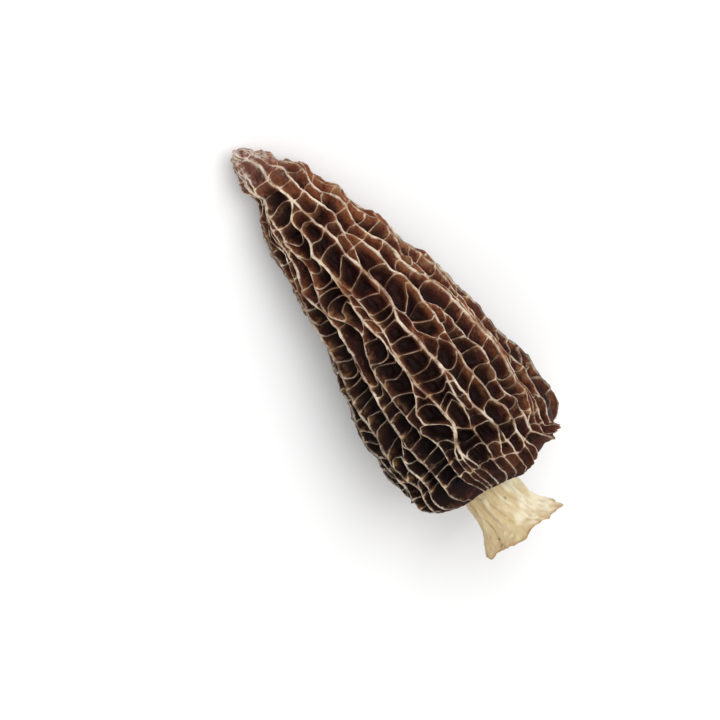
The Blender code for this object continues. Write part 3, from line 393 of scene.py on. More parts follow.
# waves round the stem: height in mm, number and phase
STEM_FOLDS = [(0.10, 5, 0.6), (0.07, 8, 2.1)]
STEM_OVAL = [(0.25, 2, 0.5)]
STEM_LIP = [(0.22, 3, 0.4), (0.16, 7, 1.0), (0.1, 11, 0.0)]
LIP_SLANT_MM, LIP_DIP_MM = 0.45, 0.75
LIP_POWER, RAGGED_POWER, RAGGED_MM = 6, 8, 0.25  # how late the waves of the lip and its rags set in
FOLD_SHARES, FOLD_INSIDE = (0.5, 1.6), 0.4  # folds at the top and what the lip adds, less on the inside
CREASE_SHARP, CREASE_LEVEL, CREASE_SEEN = 0.6, 0.7, 4.0
CREASE_TURN, CREASE_TURNS, CREASE_PHASE = 0.22, 4.0, 0.5  # how the creases wind along the stem
STREAK_MM, STREAK_STRETCH = 0.10, (0.25, 1.0, 1.0)
# painted shade: the stem is coloured darker and more ochre towards -Y, away from the light
DARKER_TONE, SIDE_SHADE = 0.35, 0.5  # how much darker the stem is, and darker still at -Y


class Finish(Enum):
    """The surface finishes in the scene."""

    CAP = "cap_flesh"
    STEM = "stem_flesh"
    FLOOR = "floor_paper"


def bell_mean(line: np.ndarray, width: float, spacing: float) -> np.ndarray:
    """Running mean weighed by exp(-d^2 / (2 width^2)), keeping both ends where they are.

    Args:
        line: Values at even spacing.
        width: Width of the bell.
        spacing: Distance between values.

    Returns:
        The smoothed values, as many as before.
    """
    reach = max(1, int(3 * width / spacing))
    bell = np.exp(-0.5 * (np.arange(-reach, reach + 1) * spacing / width) ** 2)
    bell /= bell.sum()
    before = 2 * line[0] - line[reach:0:-1]
    after = 2 * line[-1] - line[-2 : -reach - 2 : -1]
    return np.convolve(np.concatenate((before, line, after)), bell, "valid")


def smoothstep(value: np.ndarray, low: float, high: float) -> np.ndarray:
    """Rises from 0 at low to 1 at high as t^2 (3 - 2 t)."""
    t = np.clip((value - low) / (high - low), 0.0, 1.0)
    return t * t * (3.0 - 2.0 * t)


def rising(value: np.ndarray, start: float, length: float) -> np.ndarray:
    """Rises straight from 0 at the start to 1 after the length, or before it if that is negative."""
    return np.clip((value - start) / length, 0.0, 1.0)


def two_bells(x: np.ndarray, sharp: float, broad: float, share: float) -> np.ndarray:
    """Section of a crest: share * exp(-(x / sharp)^2) + (1 - share) * exp(-(x / broad)^2)."""
    return share * np.exp(-((x / sharp) ** 2)) + (1.0 - share) * np.exp(-((x / broad) ** 2))


def waves(angle: np.ndarray, rows: list[tuple[float, int, float]]) -> np.ndarray:
    """Sum of height * cos(number * angle + phase)."""
    return sum(height * np.cos(number * angle + phase) for height, number, phase in rows)


@dataclass(frozen=True)
class Grain:
    """Smooth random values in space, from -1 to 1: a lattice of draws joined by t^2 (3 - 2 t)."""

    cell_mm: float
    seed: int
    size: int = 32
    shift: float = 1000.0

    def at(self, points: np.ndarray) -> np.ndarray:
        """Values at points.

        Args:
            points: Positions in mm, last axis x, y, z.

        Returns:
            One value for each point.
        """
        lattice = np.random.default_rng(self.seed).uniform(-1, 1, (self.size,) * 3)
        place = points / self.cell_mm + self.shift
        low = np.floor(place).astype(int)
        t = place - low
        t = t * t * (3.0 - 2.0 * t)
        total = np.zeros(points.shape[:-1])
        for corner in range(8):
            step = np.array([corner & 1, corner >> 1 & 1, corner >> 2 & 1])
            i, j, k = np.moveaxis((low + step) % self.size, -1, 0)
            weight = np.prod(np.where(step == 1, t, 1.0 - t), axis=-1)
            total += weight * lattice[i, j, k]
        return total


def grains(points: np.ndarray, rows: list[tuple[float, float, int]]) -> np.ndarray:
    """Sum of height * Grain(cell, seed) at points."""
    return sum(height * Grain(cell, seed).at(points) for height, cell, seed in rows)


def to_world(s: np.ndarray, y: np.ndarray, h: np.ndarray, rests: bool) -> np.ndarray:
    """Turns axis coordinates in mm into world ones.

    The flank h = -(depth + slope * s) becomes the plane z = 0. With h counted from the flank, what
    would lie under it is pressed up to soft * log(1 + exp(h / soft)).

    Args:
        s: Distance along the axis from the tip.
        y: Distance to the side.
        h: Height over the axis.
        rests: Whether the piece is pressed by the ground.

    Returns:
        World points in mm, last axis x, y, z.
    """
    tilt = math.atan(FLANK_SLOPE)
    flank = (FLANK_DEPTH + FLANK_SLOPE * (s / UNIT_MM - FLANK_AT)) * UNIT_MM
    if rests:
        h = FLANK_SOFT_MM * np.logaddexp(0.0, (h + flank) / FLANK_SOFT_MM) - flank
    base = (FLANK_DEPTH - FLANK_SLOPE * FLANK_AT) * UNIT_MM * math.cos(tilt)
    x = s * math.cos(tilt) - h * math.sin(tilt) - ORIGIN_X_MM
    z = s * math.sin(tilt) + h * math.cos(tilt) + base - FOOT_CUT_MM
    return np.stack((x, y - ORIGIN_Y_MM, np.maximum(z, 0.0)), axis=-1)


def ring_faces(rows: int, columns: int, first: int) -> np.ndarray:
    """Outward quads between closed rings of vertices, numbered ring after ring from first."""
    row, column = np.meshgrid(np.arange(rows - 1), np.arange(columns), indexing="ij")
    a = first + row * columns + column
    b = first + row * columns + (column + 1) % columns
    return np.stack((a + columns, b + columns, b, a), axis=-1).reshape(-1, 4)


@dataclass
class Skin:
    """Vertices, faces and values per vertex of one piece, gathered before it becomes a mesh."""

    name: str
    points: np.ndarray
    faces: list[list[int]]
    values: dict[str, np.ndarray]

    def build(self, finish: bpy.types.Material) -> bpy.types.Object:
        """Makes the mesh object, in metres, with smooth faces.

        Args:
            finish: The material of the whole piece.

        Returns:
            The object, linked to the scene.
        """
        mesh = bpy.data.meshes.new(self.name)
        mesh.from_pydata((self.points * METRES).tolist(), [], self.faces)
        mesh.update()
        mesh.shade_smooth()
        for key, value in self.values.items():
            layer = mesh.attributes.new(key, "FLOAT", "POINT")
            layer.data.foreach_set("value", value.astype(np.float32))
        mesh.materials.append(finish)
        item = bpy.data.objects.new(self.name, mesh)
        bpy.context.scene.collection.objects.link(item)
        return item


def seat_in_order(places: np.ndarray, slots: np.ndarray) -> np.ndarray:
    """Gives sorted places each a slot of its own, in order, with the least squared shift in all.

    Args:
        places: Where the walls lie.
        slots: Evenly spread places, at least as many.

    Returns:
        The number of each wall's slot.
    """
    walls, count = len(places), len(slots)
    best = np.full((walls + 1, count + 1), np.inf)
    best[0] = 0.0
    for i in range(1, walls + 1):
        for j in range(i, count + 1):
            best[i, j] = min(best[i, j - 1], best[i - 1, j - 1] + (places[i - 1] - slots[j - 1]) ** 2)
    seats, j = [], count
    for i in range(walls, 0, -1):
        while best[i, j] == best[i, j - 1]:
            j -= 1
        seats.append(j - 1)
        j -= 1
    return np.array(seats[::-1])


@dataclass
class CapForm:
    """Outline, rib crests and cross walls of the cap, by length along the outline."""

    spacing: float = 0.5
    slots: int = 26
    slot_first: float = 14.0
    slot_last: float = 412.0
    random: np.random.Generator = field(init=False)
    names: list[str] = field(init=False)
    top: int = field(init=False)
    run: np.ndarray = field(init=False)
    along: np.ndarray = field(init=False)
    half_width: np.ndarray = field(init=False)
    middle: np.ndarray = field(init=False)
    ribs: np.ndarray = field(init=False)
    left: np.ndarray = field(init=False)
    right: np.ndarray = field(init=False)
    sag: np.ndarray = field(init=False)
    height: np.ndarray = field(init=False)

    def __post_init__(self) -> None:
        """Works out every line once."""
        self.random = np.random.default_rng(SEED)
        self.names = list(SEEN_RIBS) + list(UNDER_RIBS)
        self.trace_outline()
        self.top = int(np.argmax(self.along))
        lines = [self.seen_rib(points) for points in SEEN_RIBS.values()]
        lines += [self.under_rib(points) for points in UNDER_RIBS.values()]
        self.ribs = np.array(lines)
        self.separate_ribs()
        self.set_walls()

    def trace_outline(self) -> None:
        """Evenly spaced outline from the tip over the rolled edge to the socket."""
        lean = math.cos(VIEW_LEAN)
        points = [(s / lean, (b - a) / 2, (a + b) / 2) for s, a, b in OUTLINE]
        table = np.array(points + [tuple(map(float, p)) for p in UNDERSIDE])
        steps = np.hypot(np.diff(table[:, 0]), np.diff(table[:, 1]))
        run = np.concatenate(([0.0], np.cumsum(steps)))
        self.run = np.arange(0.0, run[-1] + self.spacing, self.spacing)
        columns = [np.interp(self.run, run, table[:, i]) for i in range(3)]
        self.along = bell_mean(columns[0], OUTLINE_SOFT, self.spacing)
        self.half_width = np.maximum(bell_mean(columns[1], OUTLINE_SOFT, self.spacing), 0.0)
        self.middle = bell_mean(columns[2], MIDDLE_SOFT, self.spacing)

    def read(self, at: np.ndarray, line: np.ndarray) -> np.ndarray:
        """A line's values at lengths along the outline."""
        return np.interp(at, self.run, line)

    def seen_along(self, degrees: np.ndarray) -> np.ndarray:
        """Seen distance from the tip of every step of the outline, at an angle round the axis.

        seen = along * cos(lean) + half_width * cos(angle) * flatness * sin(lean)
        """
        lift = self.half_width * np.cos(np.radians(degrees)) * FLATNESS * math.sin(VIEW_LEAN)
        return self.along * math.cos(VIEW_LEAN) + np.maximum(lift, 0.0)

    def run_at(self, seen: np.ndarray | float) -> np.ndarray:
        """Length along the outline of a place at the edge of the view."""
        true = np.asarray(seen) / math.cos(VIEW_LEAN)
        return np.interp(true, self.along[: self.top], self.run[: self.top])

    def seen_rib(self, points: Points) -> np.ndarray:
        """Crest line in degrees from places seen in the picture plane.

        The side is middle + half_width * sin(angle), read where the surface really lies, which
        is found by going back and forth between the angle and the true distance.
        """
        seen, side = np.array(points, float).T
        true = seen / math.cos(VIEW_LEAN)
        for _ in range(VIEW_TURNS):
            width, middle = (
                np.interp(true, self.along[: self.top], line[: self.top])
                for line in (self.half_width, self.middle)
            )
            width = np.maximum(width, 1.0)
            sine = np.clip((side - middle) / width, -1.0, 1.0)
            lift = width * np.sqrt(1.0 - sine**2) * FLATNESS * math.sin(VIEW_LEAN)
            true = 0.5 * true + 0.5 * (seen - lift) / math.cos(VIEW_LEAN)
        at = np.interp(true, self.along[: self.top], self.run[: self.top])
        return self.smooth_rib(at, np.degrees(np.arcsin(sine)), SEEN_RIB_SOFT)

    def under_rib(self, points: Points) -> np.ndarray:
        """Crest line in degrees from distances and angles."""
        seen, degrees = np.array(points, float).T
        line = self.smooth_rib(self.run_at(seen), degrees, UNDER_RIB_SOFT)
        wave = np.zeros_like(line)
        for length in RIB_WAVES:
            wave += np.sin(2 * math.pi * self.run / length + self.random.uniform(0, 2 * math.pi))
        arc = np.maximum(self.half_width, RIB_WAVE_WIDTH) * UNIT_MM
        fade = rising(self.run, RIB_WAVE_FROM, RIB_WAVE_FADE)
        return line + np.degrees(RIB_WAVE_MM * wave / arc) * fade

    def smooth_rib(self, at: np.ndarray, degrees: np.ndarray, width: float) -> np.ndarray:
        """Line through points, at every step of the outline, with its corners rounded."""
        at = np.maximum.accumulate(at) + np.arange(len(at)) * TINY
        line = np.interp(self.run, at, degrees)
        steps = np.arange(-RIB_REACH, RIB_REACH + 1)
        bell = np.exp(-0.5 * (steps * self.spacing / width) ** 2)
        return np.convolve(np.pad(line, RIB_REACH, mode="edge"), bell / bell.sum(), "valid")

    def separate_ribs(self) -> None:
        """Keeps the ribs in order with at least GAP_LEAST degrees between neighbours."""
        for _ in range(ORDER_TURNS):
            after = np.roll(self.ribs, -1, axis=0)
            after[-1] += 360.0
            short = np.maximum(GAP_LEAST - (after - self.ribs), 0.0) / 2
            self.ribs -= short
            self.ribs += np.roll(short, 1, axis=0)

    def set_walls(self) -> None:
        """Both ends, sag and height of every cross wall, by gap and slot."""
        count = len(self.names)
        even = np.linspace(self.slot_first, self.slot_last, self.slots)
        self.left = np.zeros((count, self.slots))
        self.right, self.sag, self.height = (np.zeros_like(self.left) for _ in range(3))
        shift = self.random.uniform(-FREE_SHIFT, FREE_SHIFT, (count, 1))
        jitter = self.random.uniform(-FREE_JITTER, FREE_JITTER, (count, self.slots))
        slant = self.random.uniform(-FREE_SLANT, FREE_SLANT, (count, self.slots))
        free_sag = self.random.uniform(*FREE_SAG, (count, self.slots))
        free_height = self.random.choice(FREE_HEIGHTS, (count, self.slots))
        for gap, name in enumerate(self.names):
            base = even + shift[gap] + jitter[gap]
            self.left[gap], self.right[gap] = base - slant[gap], base + slant[gap]
            self.sag[gap], self.height[gap] = free_sag[gap], free_height[gap]
            if name in WALLS:
                self.place_walls(gap, np.array(WALLS[name], float), even)
        for ends in (self.left, self.right):
            ends.sort(axis=1)
            for slot in range(1, self.slots):
                ends[:, slot] = np.maximum(ends[:, slot], ends[:, slot - 1] + SLOT_LEAST)

    def place_walls(self, gap: int, table: np.ndarray, even: np.ndarray) -> None:
        """Seats the walls that are read from the view, with faint folds in the slots left over.

        Args:
            gap: Number of the gap, or of the rib at its left.
            table: Seen distance at the left, at the right, and sag of each wall.
            even: Evenly spread places of the slots.
        """
        after = (gap + 1) % len(self.names)
        first = np.array([self.end_of(seen, gap) for seen in table[:, 0]])
        last = np.array([self.end_of(seen, after) for seen in table[:, 1]])
        seats = seat_in_order((first + last) / 2, even)
        places = np.concatenate(([-1], seats, [self.slots]))
        for ends, read in ((self.left, first), (self.right, last)):
            known = np.concatenate(([WALLS_BEFORE], read, [self.slot_last + WALLS_AFTER]))
            ends[gap] = np.interp(np.arange(self.slots), places, known)
        start, end = self.left[gap, seats[0]] - SEATS_MARGIN, self.left[gap, seats[-1]] + SEATS_MARGIN
        folds = self.random.choice(FOLD_HEIGHTS, self.slots)
        self.height[gap] = np.where((even > start) & (even < end), folds, self.height[gap])
        sway = SEEN_HEIGHT_SWAY * self.random.uniform(-1, 1, len(seats))
        self.height[gap, seats] = SEEN_HEIGHT + sway
        self.sag[gap, seats] = table[:, 2]

    def end_of(self, seen: float, rib: int) -> float:
        """Length along the outline at which a rib is seen at a distance from the tip."""
        shown = np.maximum.accumulate(self.seen_along(self.ribs[rib])[: self.top])
        return float(np.interp(seen, shown + np.arange(self.top) * TINY, self.run[: self.top]))


@dataclass(frozen=True)
class Grid:
    """Rows and columns of the cap's mesh."""

    at: np.ndarray  # length along the outline of every point
    slot: np.ndarray  # place of every row among the wall slots
    walls: np.ndarray  # length along the outline of every wall at every column
    gap: np.ndarray  # gap of every column
    share: np.ndarray  # share of the way across that gap


@dataclass
class CapSkin:
    """The ribbed skin of the cap at full fineness."""

    form: CapForm
    columns_seen: int = 12
    columns_under: int = 8
    rows_per_slot: int = 10
    rows_below: int = 22
    squeeze_rows: float = 0.68
    squeeze_columns: float = 0.6
    start: float = 2.0
    row_reach_mm: float = 0.2
    tip_reach: float = 100.0

    def columns(self) -> tuple[np.ndarray, np.ndarray]:
        """Gap of every column and its share of the way across, crowded at both ribs and midway.

        share = t - squeeze * sin(4 pi t) / (4 pi)
        """
        gaps, shares = [], []
        for gap in range(len(self.form.names)):
            number = self.columns_seen if gap < len(SEEN_RIBS) else self.columns_under
            t = np.arange(number) / number
            gaps.append(np.full(number, gap))
            shares.append(t - self.squeeze_columns * np.sin(4 * math.pi * t) / (4 * math.pi))
        return np.concatenate(gaps), np.concatenate(shares)

    def wall_rows(self, gap: np.ndarray, share: np.ndarray) -> np.ndarray:
        """Length along the outline of every wall at every column.

        A wall runs straight from rib to rib and sags by sag * 4 t (1 - t). Where walls of two gaps
        meet at a rib, both bend to their mean, weighed by exp(-d^2 / (2 reach^2)) over the arc.
        """
        form = self.form
        bend = 4.0 * share * (1.0 - share)
        lines = form.left[gap] + (form.right - form.left)[gap] * share[:, None]
        lines = (lines + form.sag[gap] * bend[:, None]).T
        ribs = np.concatenate((form.ribs, form.ribs[:1] + 360.0))
        smooth = np.empty_like(lines)
        for slot, line in enumerate(lines):
            low = np.array([np.interp(a, form.run, ribs[g]) for a, g in zip(line, gap)])
            high = np.array([np.interp(a, form.run, ribs[g + 1]) for a, g in zip(line, gap)])
            degrees = low + (high - low) * share
            calm = 1.0 + TIP_CALM * np.clip((TIP_CALM_AT - line) / TIP_CALM_AT, 0.0, 1.0)
            radius = np.maximum(form.read(line, form.half_width) * UNIT_MM, MEET_RADIUS_MM)
            reach = np.degrees(self.row_reach_mm * calm / radius)
            apart = np.abs(degrees[:, None] - degrees[None])
            apart = np.minimum(apart, 360.0 - apart)
            ahead = np.append(degrees[1:], degrees[0] + 360.0)
            behind = np.insert(degrees[:-1], 0, degrees[-1] - 360.0)
            span = np.maximum(ahead - behind, MEET_LEAST)
            weight = np.exp(-0.5 * (apart / reach[:, None]) ** 2) * span[None]
            smooth[slot] = weight @ line / weight.sum(axis=1)
        for slot in range(1, form.slots):
            smooth[slot] = np.maximum(smooth[slot], smooth[slot - 1] + ROW_LEAST)
        return np.minimum(smooth, RIM - RIM_CLEAR)

    def rows(self, walls: np.ndarray) -> tuple[np.ndarray, np.ndarray]:
        """Length along the outline of every grid point, and each row's place among the slots.

        Rows crowd towards the walls: t - squeeze * sin(2 pi t) / (2 pi).
        """
        count = walls.shape[1]
        lines = np.concatenate((np.full((1, count), self.start), walls, np.full((1, count), RIM)))
        t = np.arange(self.rows_per_slot) / self.rows_per_slot
        share = t - self.squeeze_rows * np.sin(2 * math.pi * t) / (2 * math.pi)
        between = lines[:-1, None] + (lines[1:] - lines[:-1])[:, None] * share[None, :, None]
        above = between.reshape(-1, count)
        below = np.linspace(RIM, self.form.run[-1], self.rows_below + 1)
        at = np.concatenate((above, np.broadcast_to(below[:, None], (len(below), count))))
        slot = np.arange(len(at)) / self.rows_per_slot - 1.0
        return at, slot

    def relief(self, grid: Grid) -> dict[str, np.ndarray]:
        """Depth under the crests and what the finish reads, on the whole grid.

        depth = full * (1 - left rib) * (1 - right rib) * (1 - spur) * (1 - wall), where each of
        them is two_bells of the distance to it in mm, times its height.

        Args:
            grid: The rows and columns.

        Returns:
            Angle in degrees, depth and width of the gap in mm, mm from the nearest rib and cross
            wall, height of that wall, and shares of the skin under walls and of the rim's edge.
        """
        form = self.form
        ribs = np.concatenate((form.ribs, form.ribs[:1] + 360.0))
        left, right = (
            np.stack([np.interp(grid.at[:, c], form.run, ribs[g]) for c, g in enumerate(which)], axis=1)
            for which in (grid.gap, grid.gap + 1)
        )
        radius = form.read(grid.at, form.half_width) * UNIT_MM
        width = np.radians(right - left) * radius
        spur, fork = self.spurs(grid)
        twice = 2.0 * grid.share
        share = np.where(grid.share < 0.5, twice * fork, fork + (twice - 1.0) * (1.0 - fork))
        bowls = np.ones_like(width)
        nearest = np.full_like(width, RIB_FAR_MM)
        for x in (width * share, width * (1.0 - share)):
            bowls *= 1.0 - two_bells(x, *RIB_BELLS)
            nearest = np.minimum(nearest, x)
        spur = spur * smoothstep(width, *SPUR_WIDTHS)
        bowls *= 1.0 - spur * two_bells(width * (share - fork), *SPUR_BELLS)
        arc = np.radians(left + (right - left) * share)
        wall, off, high = self.wall_relief(grid, share, np.gradient(arc, axis=1) * radius)
        full = PIT_DEPTH_MM * np.clip(width / PIT_WIDTH_MM, 0.0, PIT_DEEPEST) ** PIT_POWER
        fade = np.interp(grid.at, RELIEF_AT, RELIEF_SHARE)
        reach = np.where(off > SHEET_EDGE_MM, SHEET_BELOW_MM, SHEET_ABOVE_MM)
        return {
            "degrees": np.degrees(arc),
            "depth": full * fade * bowls * (1.0 - wall),
            "rib_off": nearest,
            "width": width,
            "wall_off": np.abs(off),
            "wall_high": high,
            "below": high * np.exp(-((off / reach) ** 2)),
            "rim": np.exp(-(((grid.at - RIM - EDGE_TINT) / EDGE_TINT_WIDTH) ** 2)),
        }

    def wall_relief(self, grid: Grid, share: np.ndarray, across: np.ndarray) -> tuple:
        """Cross walls on the whole grid.

        Args:
            grid: The rows and columns.
            share: Share of the way across the gap of every point.
            across: Width in mm of every column.

        Returns:
            Share by which walls fill the pits, mm to the nearest wall with its sign, and its height.
        """
        form = self.form
        nearest = np.clip(np.round(grid.slot), 0, form.slots - 1).astype(int)
        wall, high = np.zeros_like(across), np.zeros_like(across)
        off = np.full_like(across, WALL_FAR_MM)
        for step in (-1, 0, 1):
            which = np.clip(nearest + step, 0, form.slots - 1)
            rows = grid.walls[which]
            slope = np.gradient(rows, axis=1) * UNIT_MM / np.maximum(across, ACROSS_LEAST_MM)
            y = (grid.at - rows) * UNIT_MM / np.sqrt(1.0 + np.clip(slope, -1.0, 1.0) ** 2)
            height = form.height[grid.gap][:, which].T * (1.0 - WALL_SADDLE * share * (1.0 - share))
            wall = np.maximum(wall, two_bells(y, *WALL_BELLS) * height)
            closer = (np.abs(y) < np.abs(off)) & (height > WALL_SEEN)
            off, high = np.where(closer, y, off), np.where(closer, height, high)
        return wall, off, high

    def spurs(self, grid: Grid) -> tuple[np.ndarray, np.ndarray]:
        """Height and place across the gap of the low ribs that fork off inside the cells."""
        form = self.form
        random = np.random.default_rng(SEED + 1)
        size = (len(form.names), form.slots)
        strength = random.choice(SPUR_HEIGHTS, size)
        place = random.uniform(*SPUR_PLACES, size)
        turn = np.clip(grid.slot, 0, form.slots - 1)
        height, fork = (
            np.stack([np.interp(turn, np.arange(form.slots), row) for row in values])
            for values in (strength, place)
        )
        return height[grid.gap].T, fork[grid.gap].T

    def lumps(self, at: np.ndarray, degrees: np.ndarray, width: np.ndarray) -> np.ndarray:
        """How far in mm the surface stands out in slow waves and in knobs.

        Args:
            at: Length along the outline.
            degrees: Angle round the axis.
            width: Half-width there.

        Returns:
            One height for each point.
        """
        angle = np.radians(degrees)
        turns = [at / length for length in LUMP_LENGTHS]
        first = np.sin(3 * angle + turns[0]) * np.cos(turns[1] + 1.0)
        lump = LUMP_MM * (first + LUMP_SECOND * np.sin(5 * angle - turns[2] + 2.0))
        lump = lump * rising(at, LUMP_FROM, LUMP_FADE) * rising(at, LUMP_TO, -LUMP_FADE)
        for seen, turn, reach, height in KNOBS:
            away = (degrees - turn + 180.0) % 360.0 - 180.0
            arc = np.radians(away) * np.maximum(width, KNOB_RADIUS)
            off = at - self.form.run_at(seen)
            lump = lump + height * np.exp(-(arc**2 + off**2) / reach**2)
        return lump

    def place(self, at: np.ndarray, degrees: np.ndarray, depth: np.ndarray) -> np.ndarray:
        """World points in mm of surface points given by length, angle and depth."""
        form = self.form
        along, width, middle = (form.read(at, line) for line in (form.along, form.half_width, form.middle))
        turn_along = form.read(at, np.gradient(form.along, form.run))
        turn_width = form.read(at, np.gradient(form.half_width, form.run))
        length = np.maximum(np.hypot(turn_along, turn_width), TINY)
        angle = np.radians(degrees)
        inward = depth - self.lumps(at, degrees, width)
        lobe = np.interp(degrees, *zip(*RIM_EDGE), period=360.0) * rising(width, RIM_NARROW, RIM_BLEND)
        along = along + lobe * rising(at, RIM_EDGE_FROM, RIM - RIM_EDGE_FROM)
        s = along * UNIT_MM + inward * turn_width / length
        r = np.maximum(width * UNIT_MM - inward * turn_along / length, RADIUS_LEAST_MM)
        y = middle * UNIT_MM + r * np.sin(angle)
        return to_world(s, y, r * np.cos(angle) * FLATNESS, True)

    def surface(self) -> tuple[np.ndarray, dict[str, np.ndarray]]:
        """Points of the whole grid with all their relief; painted light colours it lighter and redder at +Y
        and the tip.

        Returns:
            World points in mm, and the values that the finish reads.
        """
        gap, share = self.columns()
        walls = self.wall_rows(gap, share)
        at, slot = self.rows(walls)
        values = self.relief(Grid(at, slot, walls, gap, share))
        degrees, depth = values.pop("degrees"), values["depth"]
        rough = self.place(at, degrees, depth)
        fade = np.clip(at / GRAIN_RISE, GRAIN_LEAST, 1.0)
        fade = fade * np.clip((GRAIN_END - at) / GRAIN_FALL, GRAIN_LAST, 1.0)
        knobs = grains(rough, KNOB_GRAIN) * np.exp(-((values["rib_off"] / KNOBS_REACH_MM) ** 2))
        values["fall"] = depth / PIT_DEPTH_MM
        values["tip"] = np.clip(1.0 - at / self.tip_reach, 0.0, 1.0)
        # painted light: share by which the finish is lightened and reddened towards +Y, fading further from
        # the tip
        values["painted_light"] = PAINTED_LIGHT_BASE + PAINTED_LIGHT_SIDE * np.sin(np.radians(degrees))
        for loss, start, end in PAINTED_LIGHT_LOSS:
            values["painted_light"] = values["painted_light"] - loss * smoothstep(at, start, end)
        depth = depth + fade * (FINE_MM * grains(rough, FINE_GRAIN) + KNOBS_MM * knobs)
        depth = depth + values["tip"] ** WART_POWER * grains(rough, WART_GRAIN)
        values["depth"] = depth / PIT_DEPTH_MM
        radius = np.maximum(self.form.read(at, self.form.half_width) * UNIT_MM, SWAY_RADIUS_MM)
        sway = grains(rough, SWAY_GRAIN) * fade
        return self.place(at, degrees + np.degrees(sway / radius), depth), values

    def build(self, finish: bpy.types.Material) -> bpy.types.Object:
        """Makes the finished cap.

        Args:
            finish: The material of the cap.

        Returns:
            The closed skin as an object.
        """
        surface, values = self.surface()
        rows, count = surface.shape[:2]
        form = self.form
        ends = [
            to_world(np.array([s * UNIT_MM]), np.array([y * UNIT_MM]), np.zeros(1), True)
            for s, y in ((form.along[0], form.middle[0]), (SOCKET_FLOOR, UNDERSIDE[-1][2]))
        ]
        points = np.concatenate((ends[0], surface.reshape(-1, 3), ends[1]))
        last = 1 + (rows - 1) * count
        faces = [[1 + i, 1 + (i + 1) % count, 0] for i in range(count)]
        faces += ring_faces(rows, count, 1).tolist()
        faces += [[len(points) - 1, last + (i + 1) % count, last + i] for i in range(count)]
        flat = {
            key: np.concatenate(([value.flat[0]], value.reshape(-1), [value.flat[-1]]))
            for key, value in values.items()
        }
        return Skin("cap_skin", points, faces, flat).build(finish)


@dataclass(frozen=True)
class Tube:
    """Rings and columns of the stem's mesh."""

    s: np.ndarray  # true distance from the tip of every ring
    share: np.ndarray  # share of the way to the lip
    radius: np.ndarray  # mm from the middle
    angle: np.ndarray  # of every column


